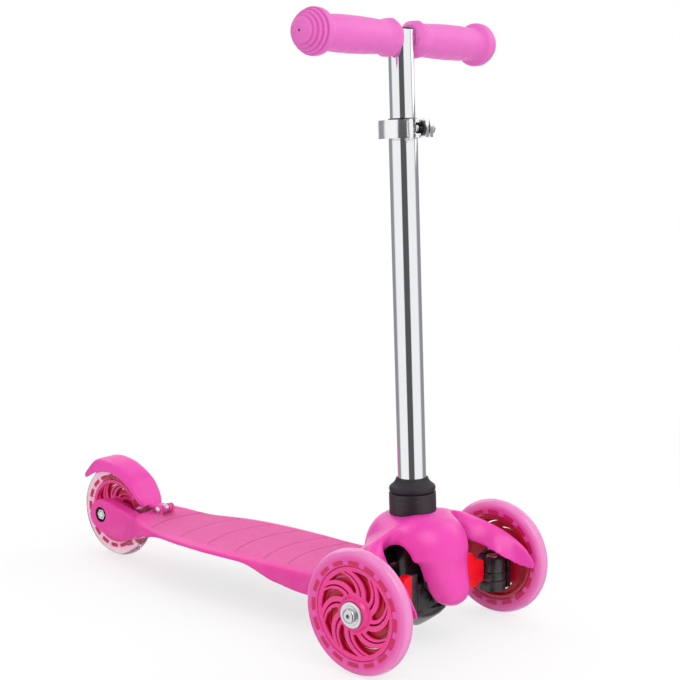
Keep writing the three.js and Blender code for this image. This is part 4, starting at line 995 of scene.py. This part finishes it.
def make_cover():
    arch, under, under_room = arch_outlines()
    rough = COVER_MELT["rough"]
    guides = [dome_form("guide dome", 0), nose_form("guide nose", 0), wing_form("guide wings", 0)]
    dish = carved(dome_form("dish", 0), prism("under dome", under.tolist(), -FAR, FAR, "X"))
    outside = melted(joined("outside", dish, nose_form("nose", 0), wing_form("wings", 0)), rough)
    relaxed(outside, 4)
    seams = seam_weights(outside, guides, COVER_MELT["fill_reach"])
    filled(outside, COVER_MELT["fill_rounds"], np.sqrt(seams))
    relaxed(melted(outside, COVER_MELT["filled"]), 6)
    wall = DOME["wall"]
    room = carved(dome_form("room", wall), prism("under room", under_room.tolist(), -FAR, FAR, "X"))
    hollow = joined("hollow", room, nose_form("nose room", wall), wing_form("wing room", wall))
    relaxed(melted(hollow, rough), 8)
    half = DOME["radius"] + 6
    rear = DOME["y"] + half
    cover = carved(
        outside, hollow,
        prism("arch", arch.tolist(), -half, half, "X"),
        block("skirt", -half, half, arch[-1][0] - 1.5, rear, 0, SKIRT_REAR),
        block("mouth", -half, half, DOME["y"] - FAR, rear, 0, NOSE["bottom"] + 0.8),
        prism("stem hole", ring_outline(DOME["hole"]), DOME["bottom"], FAR, "Z", ON_STEM),
    )
    relaxed(melted(cover, COVER_MELT["final"]), 9)
    cover.name = "front_shell_visual"
    dress(shaded(cover, 60), "steering_head", "cover_plastic", cover_pink, "front_shell")


# Rear mudguard, pressed down by foot as the brake

FENDER = {"start": 398.6, "reach": 108.4, "height": 118.5, "half_width": 20, "wall": 1.8, "depth": 16.9,
          "voxel": 0.7}
# length; height; half width; depth
FENDER_SHARES = [
    (0, 0.611, 0.7, 0.45), (0.046, 0.67, 0.88, 0.402), (0.089, 0.719, 0.96, 0.391), (0.147, 0.79, 1, 0.426),
    (0.205, 0.844, 1, 0.497), (0.28, 0.891, 1, 0.533), (0.356, 0.928, 1, 0.562), (0.428, 0.959, 1, 0.627),
    (0.504, 0.981, 1, 0.746), (0.57, 0.993, 1, 0.84), (0.642, 1, 1, 0.929), (0.719, 0.994, 1, 1),
    (0.792, 0.972, 1, 1), (0.851, 0.931, 0.98, 0.852), (0.911, 0.875, 0.93, 0.669),
    (0.969, 0.822, 0.84, 0.473), (1, 0.787, 0.7, 0.308),
]
HINGE = {"y": 380.5, "z": 70.3, "pin": 2.7, "eye": 4.8, "half_width": 7.2, "spring": 5.4, "lug": 5,
         "lug_inner": 7.6, "lug_outer": 11}
HINGE_LINE = along_x(HINGE["y"], HINGE["z"])


def fender_section(half_width, depth, inset):
    """A flat arch as points across and down, from one edge over the crown to the other."""
    points = []
    for angle in np.linspace(0, math.pi, 29):
        across = -math.copysign(abs(math.cos(angle)) ** 0.42, math.cos(angle))
        down = 1 - math.sin(angle) ** 0.55
        points.append((across * (half_width - inset), inset + down * (depth - inset)))
    return points


def make_fender():
    shares = curve_through(FENDER_SHARES, 90)
    tops = shares[:, :2] * (FENDER["reach"], FENDER["height"]) + (FENDER["start"], 0)
    slopes = np.gradient(tops, axis=0)
    slopes /= np.linalg.norm(slopes, axis=1)[:, None]
    rings = []
    for (y, z), (ahead_y, ahead_z), (wide, deep) in zip(tops, slopes, shares[:, 2:]):
        outer, inner = (fender_section(FENDER["half_width"] * wide, FENDER["depth"] * deep, inset)
                        for inset in (0, FENDER["wall"]))
        rings.append([(x, y + ahead_z * d, z - ahead_y * d) for x, d in outer + inner[::-1]])
    shell = build("fender shell", *skin(rings, caps=True))
    y, z, half = HINGE["y"], HINGE["z"], HINGE["half_width"]
    start, start_z = FENDER["start"], FENDER["height"] * FENDER_SHARES[0][1]
    web = prism("fender web", [(y, z + 3), (y, z - 1.4), (start + 2, z - 1.4), (start + 6, start_z + 4),
                               (start + 3, start_z + 6), (start, start_z + 1)], -half, half, "X")
    eye = cylinder("fender eye", HINGE["eye"], -half, half, HINGE_LINE, 48)
    whole = melted(joined("rear_fender_visual", shell, web, eye), FENDER["voxel"])
    carved(whole, cylinder("pin room", HINGE["pin"], -30, 30, HINGE_LINE, 32),
           cylinder("spring room", HINGE["spring"], -3, 3, HINGE_LINE, 32))
    relaxed(whole, 4)
    dress(shaded(whole, 60), "brake", "cover_plastic", cover_pink, "rear_fender")


# Deck with its fork

DECK = {"front": 72, "rear": 400, "half_width": 64, "top": 61.5, "skin": 3.5, "end_wall": 4, "slope": 0.75,
        "voxel": 1.2}
# length; half width of the top and of the rim; height of the top, the rim and the lower edge
DECK_SHARES = [
    (0, 0.625, 0.719, 0.992, 0.911, 0.593), (0.085, 0.781, 0.906, 1, 0.911, 0.598),
    (0.165, 0.797, 0.938, 1, 0.911, 0.621), (0.232, 0.805, 0.953, 1, 0.911, 0.673),
    (0.271, 0.812, 0.964, 1, 0.911, 0.709), (0.305, 0.828, 0.975, 1, 0.914, 0.764),
    (0.345, 0.844, 0.984, 1, 0.92, 0.839), (0.393, 0.848, 0.992, 1, 0.927, 0.894),
    (0.436, 0.853, 1, 1, 0.93, 0.899), (0.573, 0.844, 1, 1, 0.93, 0.899),
    (0.695, 0.781, 0.945, 0.992, 0.927, 0.896), (0.787, 0.731, 0.859, 0.967, 0.917, 0.885),
    (0.863, 0.688, 0.75, 0.959, 0.894, 0.818), (0.939, 0.594, 0.711, 1.016, 0.894, 0.683),
    (1, 0.438, 0.531, 1.081, 0.911, 0.569),
]
FORK = {"front": 372, "length": 107.5, "bottom": 30.1, "height": 41.9, "inner": 13.6, "outer": 29}
# a fork arm seen from the side: length; height
FORK_SHARES = [
    (0, 0.344), (0.084, 0.282), (0.194, 0.186), (0.353, 0.074), (0.514, 0.005), (0.677, 0),
    (0.792, 0.06), (0.889, 0.16), (0.97, 0.298), (1, 0.475), (0.995, 0.642), (0.97, 0.809),
    (0.912, 0.94), (0.851, 1), (0.719, 0.986), (0.638, 0.947), (0.478, 0.859), (0.304, 0.764),
    (0, 0.642),
]
# half width and place of the fork's outer face, where it spreads out into the deck
FORK_FLARE = [(45, 358), (44.5, 366), (43, 375), (40, 385), (36.5, 394), (33.4, 403), (31.1, 412),
              (29.6, 422), (29, 434)]
RECESS = {"radius": 9.2, "mouth": 10.4, "depth": 6, "bore": 4.3}
GROOVES = {"centres": (158, 191, 232, 273, 317, 368), "bow": 13, "half_span": 53, "half_width": 0.9,
           "depth": 0.8}
TREAD = {"rear": 392, "taper": 0.55}


def deck_rows(inset, count=110):
    rows = []
    for along, top_half, rim_half, top_height, rim_height, low_height in curve_through(DECK_SHARES, count):
        y = DECK["front"] + (DECK["rear"] - DECK["front"]) * along
        top = DECK["top"] * top_height - inset
        rim = DECK["top"] * rim_height - inset
        low = DECK["top"] * low_height - (6 if inset else 0)
        top_x = DECK["half_width"] * top_half - inset / 2
        rim_x = DECK["half_width"] * rim_half - inset
        shoulder_x = top_x + (rim_x - top_x) * DECK["slope"]
        shoulder = rim + (top - rim) * DECK["slope"] ** 2
        right = [(rim_x, low), (rim_x, rim), (shoulder_x, shoulder), (top_x, top)]
        section = right + [(-x, z) for x, z in right[::-1]]
        rows.append([(x, y, z) for x, z in rounded(section, 1.6, 3)])
    return rows


def fork_arm(sign):
    outline = curve_through([(FORK["front"] + FORK["length"] * a, FORK["bottom"] + FORK["height"] * u)
                             for a, u in FORK_SHARES], 110).tolist()
    inner = FORK["inner"]
    arm = prism("fork arm", outline, sign * inner, sign * DECK["half_width"], "X")
    flare = [(inner, FORK["front"] - inner), *FORK_FLARE, (FORK["outer"], FAR * 2), (inner, FAR * 2)]
    plan = prism("fork plan", [(sign * x, y) for x, y in flare], 0, FAR, "Z")
    carved(arm, plan, operation="INTERSECT")
    axle = along_x(WHEELBASE, REAR_WHEEL["radius"], sign)
    return [arm, cylinder("fork boss", 8, inner - 2, inner + 1.5, axle, 48)]


def hinge_lug(sign):
    y, radius = HINGE["y"], HINGE["lug"]
    inner, outer = sorted((sign * HINGE["lug_inner"], sign * HINGE["lug_outer"]))
    post = block("lug post", inner, outer, y - radius, y + radius, DECK["top"] * 0.95 - 1.5, HINGE["z"])
    return [post, cylinder("lug eye", radius, inner, outer, HINGE_LINE, 48)]


def groove_distance(points):
    """Distance to the nearest groove, whose middle lies further back than its ends."""
    best = np.full(len(points), 1e3)
    span = GROOVES["half_span"]
    for centre in GROOVES["centres"]:
        line = centre - GROOVES["bow"] * (points[:, 0] / span) ** 2
        best = np.minimum(best, np.abs(points[:, 1] - line))
    return best


def deck_shares(y, column):
    """A column of the deck's shares at places along it."""
    table = np.array(DECK_SHARES)
    along = (y - DECK["front"]) / (DECK["rear"] - DECK["front"])
    return np.interp(along, table[:, 0], table[:, column])


def refine_near_grooves(deck):
    points = making_points(deck)
    near = (groove_distance(points) < 4) & (points[:, 2] > DECK["top"] - 6)
    with editing(deck) as shape:
        edges = [e for e in shape.edges if all(near[v.index] for v in e.verts)]
        bmesh.ops.subdivide_edges(shape, edges=edges, cuts=1, use_grid_fill=True)


def cut_grooves(deck):
    """Sinks the grooves into the tread, and stores where both lie."""
    points = making_points(deck)
    across, y = np.abs(points[:, 0]), points[:, 1]
    edge = DECK["half_width"] * deck_shares(y, 1) - across
    on_top = np.clip((points[:, 2] - DECK["top"] * deck_shares(y, 3) + 1.6) / 0.8, 0, 1)
    rear_limit = TREAD["rear"] - TREAD["taper"] * across
    inside = np.clip(edge / 2, 0, 1) * np.clip((rear_limit - y) / 3, 0, 1) * on_top
    fade = np.clip((GROOVES["half_span"] - across) / 4, 0, 1) * np.clip(edge / 3, 0, 1)
    groove = np.exp(-(groove_distance(points) / GROOVES["half_width"]) ** 2) * fade * on_top
    moved = points_of(deck)
    moved[:, 2] -= GROOVES["depth"] * MM * groove
    set_points(deck, moved)
    keep_value(deck, "tread", inside)
    keep_value(deck, "groove", groove)


def deck_form(name, inset=0):
    return build(name, *skin(deck_rows(inset), caps=True))


def make_deck():
    hollow = carved(
        deck_form("deck hollow", DECK["skin"]),
        block("front end", -FAR, FAR, 0, DECK["front"] + DECK["end_wall"], 0, FAR),
        block("rear end", -FAR, FAR, DECK["rear"] - DECK["end_wall"], FAR * 2, 0, FAR))
    body = carved(deck_form("deck body"), hollow)
    pieces = [piece for form in (fork_arm, hinge_lug) for sign in SIDES.values() for piece in form(sign)]
    guides = [deck_form("guide deck"), *fork_arm(1), *fork_arm(-1)]
    deck = melted(joined("deck_board_visual", body, *pieces), DECK["voxel"])
    relaxed(deck, 4)
    relaxed(deck, 90, seam_weights(deck, guides, 9))
    outer, inner = FORK["outer"], FORK["outer"] - RECESS["depth"]
    radius, axle = RECESS["radius"], on_wheel("rear")
    recess = [(0, inner), (radius, inner), (radius, outer - 0.6), (RECESS["mouth"], FAR), (0, FAR)]
    carved(deck,
           cylinder("axle bore", RECESS["bore"], -FAR, FAR, axle, 40),
           rod("recess", recess, axle, 64),
           rod("far recess", [(r, -h) for r, h in recess[::-1]], axle, 64),
           cylinder("hinge bore", HINGE["pin"], -FAR, FAR, HINGE_LINE, 32))
    refine_near_grooves(deck)
    cut_grooves(deck)
    dress(shaded(deck, 60), "chassis", "deck_plastic", deck_pink, "deck_board")


def make_recess_liners():
    """Black cups that line the recesses at the rear axle."""
    inner, outer, radius = FORK["outer"] - RECESS["depth"], FORK["outer"], RECESS["radius"] - 0.1
    cup = rounded([(7, inner + 0.1), (radius, inner + 0.1), (radius, outer - 0.5), (8.3, outer - 0.5),
                   (8.1, inner + 0.8), (7, inner + 0.8)], 0.3, 2)
    for side, turn in (("left", 0), ("right", math.pi)):
        place = on_wheel("rear") @ Matrix.Rotation(turn, 4, "X")
        liner = rod(f"axle_recess_liner_{side}", cup, place, 64)
        dress(shaded(liner), "chassis", "black_plastic", black_plastic)


# Stem and clamp

STEM = {"radius": 14.3, "wall": 1.5, "foot": 72.6, "top": 512}
GUIDE_RING = {"radius": 14, "height": 1.4}
INNER_TUBE = {"radius": 12.5, "wall": 1.5, "foot": 330, "top": 597}
COLLAR = {"radius": 23.4, "foot": 124.8, "top": 148.3}
BOOT = {"radius": 22.9, "height": 14.2, "low": 148.6}
BOOT_SHARES = [(0.943, 0), (1, 0.16), (0.99, 0.39), (0.83, 0.62), (0.735, 0.82), (0.69, 1)]
BAR = {"height": 589, "radius": 8, "wall": 1.4, "half_length": 136}
GAP = 0.3


def on_bar(sign=1):
    """The place of a form that is made about Z and lies along the crossbar."""
    return ON_STEM @ Matrix.Translation((0, 0, BAR["height"])) @ Matrix.Rotation(sign * math.pi / 2, 4, "Y")


def make_stem():
    radius, inner = STEM["radius"], STEM["radius"] - STEM["wall"]
    make_turned("lower_stem_tube", ring_section(inner, radius, STEM["foot"], STEM["top"], 0.5), ON_STEM, 128,
                "steering_head", "chrome_tube", chrome)
    low = STEM["top"] + GAP
    ring = ring_section(inner, GUIDE_RING["radius"], low, low + GUIDE_RING["height"], 0.4)
    make_turned("stem_guide_ring", ring, ON_STEM, 96, "steering_head", "black_plastic", black_plastic)
    radius, bore, top = COLLAR["radius"], STEM["radius"] + GAP, COLLAR["top"]
    outline = rounded([(bore, COLLAR["foot"]), (radius, COLLAR["foot"]), (radius, top - 6.2),
                       (radius - 0.35, top - 5.8), (radius, top - 5.4), (radius, top), (bore, top)], 0.7, 3)
    make_turned("stem_collar", outline, ON_STEM, 128, "steering_head", "black_plastic", collar_black)
    side = curve_through([(BOOT["radius"] * out, BOOT["low"] + BOOT["height"] * up)
                          for out, up in BOOT_SHARES], 40)
    top = BOOT["low"] + BOOT["height"]
    outline = [(bore, BOOT["low"]), *side.tolist(), (bore + 0.6, top), (bore, top - 0.5)]
    make_turned("stem_boot", outline, ON_STEM, 128, "steering_head", "black_rubber", black_rubber)


def make_upper_tube():
    radius, top = INNER_TUBE["radius"], INNER_TUBE["top"]
    outline = ring_section(radius - INNER_TUBE["wall"], radius, INNER_TUBE["foot"], top, 0.4)
    tube = rod("upper_stem_tube_visual", outline, ON_STEM, 128)
    carved(tube, cylinder("bar bore", BAR["radius"] + GAP, -40, 40, on_bar(), 64))
    dress(shaded(tube), "handlebar", "chrome_tube", chrome, "upper_stem_tube")
    low = top + GAP
    outline = rounded([(0, low), (radius, low), (radius, low + 1.0), (radius - 1.2, low + 1.5),
                       (0, low + 1.5)], 0.5, 3)
    make_turned("stem_plug", outline, ON_STEM, 96, "handlebar", "black_plastic", black_plastic)
    radius, half = BAR["radius"], BAR["half_length"]
    make_turned("crossbar", ring_section(radius - BAR["wall"], radius, -half, half, 0.4), on_bar(), 96,
                "handlebar", "chrome_tube", chrome)


# Grips

GRIP = {"inner": 12.8, "outer": 148, "bulb": 21.6, "vent": 1.3}
# along the grip from its inner end, and the radius there
GRIP_PROFILE = [(0, 14.2), (0.012, 15.6), (0.04, 18.3), (0.07, 18.6), (0.095, 17.4), (0.14, 16.1),
                (0.24, 16.5), (0.36, 17.1), (0.5, 17.3), (0.62, 17.1), (0.7, 16.5), (0.765, 16.1),
                (0.785, 16.6), (0.797, 18.8), (0.81, 20.9), (0.83, 21.6), (0.85, 21.6)]
# the rings on the end knob, from its widest part to the smooth button in the middle
GRIP_STEPS = [(21.6, 128.2), (21.4, 130.2), (18.7, 130.4), (18.7, 131.3), (19.9, 131.6), (19.6, 134.5),
              (16.4, 134.7), (16.4, 135.6), (17.6, 135.9), (17.2, 138.6), (13.8, 138.8), (13.8, 139.7),
              (14.9, 140), (14.5, 142.2), (11.4, 142.3)]
# hollows for the fingers: where they start and end along the grip, and the angle that they face
FINGERS = {"count": 4, "start": 0.19, "end": 0.74, "side": -0.75, "spread": 0.75, "half_length": 0.36,
           "depth": 0.035}
# the flange at the inner end has slightly flattened sides, where flat is how far they are drawn in
FLANGE = {"end": 0.1, "sides": 8, "flat": 0.52}


def grip_outline():
    length = GRIP["outer"] - GRIP["inner"]
    side = curve_through([(radius, GRIP["inner"] + length * share) for share, radius in GRIP_PROFILE], 150)
    cap = rounded([(9, GRIP["outer"] - 4), *GRIP_STEPS, (11.4, 143.6)], 0.3, 3)[4:-4].tolist()
    cap += curve_through([(11.3, 142.8), (12, 143.6), (11.4, 144.9), (8.6, 146.4), (4, 147.7), (2.6, 147.9)],
                         24).tolist()
    bore, bottom = BAR["radius"] + GAP, BAR["half_length"] + GAP
    inner = [(GRIP["vent"] + 1.2, GRIP["outer"] - 0.1), (GRIP["vent"], GRIP["outer"] - 0.9),
             (GRIP["vent"], bottom), (bore, bottom), (bore, GRIP["inner"])]
    return side.tolist() + cap + inner


def make_grip(side):
    sign = SIDES[side]
    outline = [(min(r, GRIP["bulb"]), min(h, GRIP["outer"])) for r, h in grip_outline()]
    length = GRIP["outer"] - GRIP["inner"]

    def wobble(angle, row):
        radius, height = outline[row]
        share = (height - GRIP["inner"]) / length
        start, end = FINGERS["start"], FINGERS["end"]
        if radius < 13:
            return 1
        if share < FLANGE["end"]:
            sides = FLANGE["sides"]
            return 1 - FLANGE["flat"] * (1 - polygon(angle + math.pi / sides, sides))
        if not start <= share <= end:
            return 1
        towards = angle - (FINGERS["side"] if sign > 0 else -math.pi - FINGERS["side"])
        front = math.exp(-(math.atan2(math.sin(towards), math.cos(towards)) / FINGERS["spread"]) ** 4)
        wave = (share - start) / (end - start) * FINGERS["count"] % 1
        oval = max(0.0, 1 - ((wave - 0.5) / FINGERS["half_length"]) ** 4)
        return 1 - FINGERS["depth"] * front * oval

    make_turned("grip_" + side, outline, on_bar(sign), 128, "handlebar", "grip_rubber", grip_pink, wobble, 50)


make_cover()
make_fender()
make_deck()
make_recess_liners()
make_stem()
make_upper_tube()
for side in SIDES:
    make_grip(side)


# Arms that carry the front wheels

ARM = {"inner": 37.3, "front": -9.5, "back": 0, "bottom": 41, "top": 80, "reach": 77.4}
SHADE_SLEEVE = {"end": 47, "wall": 0.3}
EAR = {"x": 92, "y": -10, "low": 43.9, "high": 52.3, "radius": 13.4, "bore": 4.3, "neck": 13,
       "neck_end": 81}
# across and up: the red web of an arm
ARM_OUTLINE = [(ARM["inner"], ARM["bottom"]), (68, ARM["bottom"]), (68, EAR["low"]),
               (ARM["reach"], EAR["low"]), (ARM["reach"], 66.5), (70, 68.8), (62, 71), (55, 79.2),
               (50, ARM["top"]), (ARM["inner"], ARM["top"])]


def softened(obj, width):
    return modified(obj, "BEVEL", width=width * MM, segments=3, limit_method="ANGLE",
                    angle_limit=math.radians(EDGE_ANGLE))


def make_arm(side):
    sign = SIDES[side]
    outline = [(sign * x, z) for x, z in rounded(ARM_OUTLINE, 3.5, 4)]
    web = softened(prism(f"axle_arm_{side}_visual", outline, ARM["front"], ARM["back"], "Y"), 1.0)
    dress(shaded(web), "chassis", "red_plastic", arm_red, "axle_arm_" + side)
    # a black sleeve over each arm's inner end is a dark piece put where the cover casts shade: painted shade
    wall = SHADE_SLEEVE["wall"]
    ends = sorted((sign * ARM["inner"], sign * SHADE_SLEEVE["end"]))
    sleeve = block(f"arm_shade_sleeve_{side}", *ends, ARM["front"] - wall, ARM["back"] + wall,
                   ARM["bottom"] - wall, ARM["top"] + wall)
    dress(shaded(softened(sleeve, 1.2)), "chassis", "black_plastic", black_plastic)
    low, high, y, half = EAR["low"], EAR["high"], EAR["y"], EAR["neck"] / 2
    ear = rod("ear", ring_section(EAR["bore"], EAR["radius"], low, high, 0.8),
              Matrix.Translation((sign * EAR["x"], y, 0)), 72)
    ends = sorted((sign * (ARM["reach"] + 0.1), sign * EAR["neck_end"]))
    neck = softened(block("neck", *ends, y - half, y + half, low, high), 0.6)
    whole = joined(f"arm_ear_{side}", ear, neck)
    dress(shaded(whole), "chassis", "red_plastic", black_plastic)


for side in SIDES:
    make_arm(side)


# CAD pieces that keep their shape, with their edges eased

KEPT_CREASE = 32


def make_easing():
    """Geometry nodes that shade smoothly except across sharp edges."""
    tree = bpy.data.node_groups.new("shade by angle", "GeometryNodeTree")
    for way in ("INPUT", "OUTPUT"):
        tree.interface.new_socket(name="Geometry", in_out=way, socket_type="NodeSocketGeometry")
    recipe = Recipe(tree)
    start, end = recipe.node("NodeGroupInput"), recipe.node("NodeGroupOutput")
    angle = recipe.node("GeometryNodeInputMeshEdgeAngle")
    below = recipe.node("FunctionNodeCompare", {"operation": "LESS_THAN"})
    faces = recipe.node("GeometryNodeSetShadeSmooth")
    edges = recipe.node("GeometryNodeSetShadeSmooth", {"domain": "EDGE"}, Shade_Smooth=below.outputs[0])
    for value, socket in ((angle.outputs["Unsigned Angle"], below.inputs[0]),
                          (math.radians(KEPT_CREASE), below.inputs[1]),
                          (start.outputs[0], faces.inputs[0]), (faces.outputs[0], edges.inputs[0]),
                          (edges.outputs[0], end.inputs[0])):
        recipe.put(value, socket)
    return tree


SHADE_BY_ANGLE = make_easing()


def eased(node, width, material):
    """Gives a CAD piece its material, and bevels and shades it by modifiers."""
    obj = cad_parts[node]
    weld = obj.modifiers.new("weld", "WELD")
    weld.merge_threshold = 0.00001
    bevel = obj.modifiers.new("eased edges", "BEVEL")
    bevel.width = width * MM
    bevel.segments = 2
    bevel.limit_method = "ANGLE"
    bevel.angle_limit = math.radians(EDGE_ANGLE)
    shade = obj.modifiers.new("shade by angle", "NODES")
    shade.node_group = SHADE_BY_ANGLE
    obj.data.materials.clear()
    obj.data.materials.append(material)


# nodes, the width of their bevel, and their material
KEPT = [
    (("axle_carrier", "lower_tray", "steering_block", "nose_bracket", "knuckle_left", "knuckle_right"),
     0.7, black_plastic),
    (("deck_base",), 0.8, black_plastic),
    (("clamp_washer",), 0.5, black_plastic),
    (("bumper_left", "bumper_right"), 0.6, black_rubber),
    (("clamp_collar", "clamp_lever"), 0.6, clamp_metal),
    (("kingpin_left", "kingpin_right", "pivot_pin", "fender_pin", "clamp_bolt", "clamp_nut", "clamp_pin",
      "deck_screw_front_left", "deck_screw_front_right", "deck_screw_rear_left", "deck_screw_rear_right",
      "tray_screw_front", "tray_screw_rear", "tie_rod", "fender_spring", "rear_axle_nut"), 0.3, bright_steel),
    (("front_bearing_outer_left", "front_bearing_outer_right", "front_bearing_inner_left",
      "front_bearing_inner_right", "rear_bearing_left", "rear_bearing_right", "rear_spacer"), 0.3,
     bearing_steel),
]
for names, width, material in KEPT:
    for node in names:
        eased(node, width, material)


# Studio: floor, lights and camera

# the floor seen by the camera: from a share of white near the scooter to all white, both at metres from it
FLOOR = {"half": 4000, "color": (0.93, 0.93, 0.93, 1), "near": 0.25, "far": 1.2, "near_white": 0.72}


def make_floor():
    """A floor that turns white away from the scooter, so that it ends nowhere."""
    half = FLOOR["half"]
    floor = build("studio_floor", *skin([[(-half, y, 0), (half, y, 0)] for y in (-half, half)],
                                        closed_across=False))
    floor.visible_glossy = False
    material, recipe, unused = finish("studio floor", Base_Color=FLOOR["color"], Roughness=0.9)
    nodes = material.node_tree.nodes
    path = recipe.node("ShaderNodeLightPath").outputs
    far = recipe.node("ShaderNodeVectorMath", {"operation": "LENGTH"})
    recipe.put(recipe.node("ShaderNodeNewGeometry").outputs["Position"], far.inputs[0])
    away = recipe.span(far.outputs["Value"], FLOOR["near"], FLOOR["far"], FLOOR["near_white"], 1.0)
    seen = recipe.math("MAXIMUM", recipe.times(path["Is Camera Ray"], away), path["Is Transmission Ray"])
    white = recipe.node("ShaderNodeEmission", Color=WHITE, Strength=1.0)
    surface = recipe.blend(seen, nodes["Principled BSDF"].outputs[0], white.outputs[0])
    recipe.put(surface, nodes["Material Output"].inputs["Surface"])
    floor.data.materials.append(material)


# edges are cosines of the angle to the direction that the panels face
PANELS = {"facing": math.radians(216.3), "dark": (0.1, 0.1, 0.11, 1), "dark_edge": (0.90, 0.94),
          "grey": (0.3, 0.31, 0.33, 1), "grey_edges": ((-0.93, -0.86), (0.05, -0.25))}
LIGHT = 0.82
# name; place; power; size
LAMPS = [("key", (-0.6, -1.9, 2.2), 20, 1.6), ("fill", (1.8, -0.8, 1.4), 8, 1.5),
         ("rear", (0.4, 1.9, 1.8), 10, 1.5)]
LAMPS_AIM = (0, 0, 0.25)
CAMERA = {"lens": 74.9, "place": (-1.098, -0.789, 0.499), "yaw": 0.8802, "pitch": 0.145}


def studio_panels(recipe, glossy):
    """White all round; glossy metal also sees a dark panel behind the camera and grey ones opposite."""
    way = recipe.node("ShaderNodeTexCoord").outputs["Generated"]
    parts = recipe.node("ShaderNodeSeparateXYZ", Vector=way).outputs
    x, y = parts["X"], parts["Y"]
    level = recipe.math("SQRT", recipe.plus(recipe.times(x, x), recipe.times(y, y)))
    facing = PANELS["facing"]
    along = recipe.plus(recipe.times(x, math.cos(facing)), recipe.times(y, math.sin(facing)))
    share = recipe.math("DIVIDE", along, level)
    dark = recipe.span(share, *PANELS["dark_edge"])
    grey = recipe.times(*(recipe.span(share, *edge) for edge in PANELS["grey_edges"]))
    first = recipe.mix(recipe.times(dark, glossy), WHITE, PANELS["dark"])
    return recipe.mix(recipe.times(grey, glossy), first, PANELS["grey"])


def make_world():
    """Softer light than the white that the camera, glossy metal and clear rubber see."""
    world = bpy.data.worlds.new("studio")
    world.use_nodes = True
    bpy.context.scene.world = world
    recipe, nodes = Recipe(world.node_tree), world.node_tree.nodes
    plain = nodes["Background"]
    plain.inputs["Color"].default_value = WHITE
    plain.inputs["Strength"].default_value = LIGHT
    path = recipe.node("ShaderNodeLightPath").outputs
    panels = studio_panels(recipe, path["Is Glossy Ray"])
    white = recipe.node("ShaderNodeBackground", Color=panels, Strength=1.0)
    straight = recipe.math("MAXIMUM", path["Is Glossy Ray"], path["Is Transmission Ray"])
    seen = recipe.math("MAXIMUM", path["Is Camera Ray"], straight)
    surface = recipe.blend(seen, plain.outputs[0], white.outputs[0])
    recipe.put(surface, nodes["World Output"].inputs["Surface"])


def make_lamp(name, place, power, size):
    lamp = bpy.data.lights.new(name, "AREA")
    lamp.energy = power
    lamp.size = size
    obj = link(name, lamp)
    obj.location = place
    obj.rotation_euler = (Vector(LAMPS_AIM) - obj.location).to_track_quat("-Z", "Y").to_euler()


def make_camera():
    camera = bpy.data.cameras.new("photo camera")
    camera.lens = CAMERA["lens"]
    obj = link("photo camera", camera)
    x, y, z = CAMERA["place"]
    obj.location = (x, FRONT_AXLE.y + y, z)
    obj.rotation_euler = (math.pi / 2 - CAMERA["pitch"], 0, -CAMERA["yaw"])
    bpy.context.scene.camera = obj


make_floor()
make_world()
for lamp in LAMPS:
    make_lamp(*lamp)
make_camera()
bpy.context.scene.view_settings.view_transform = "Standard"
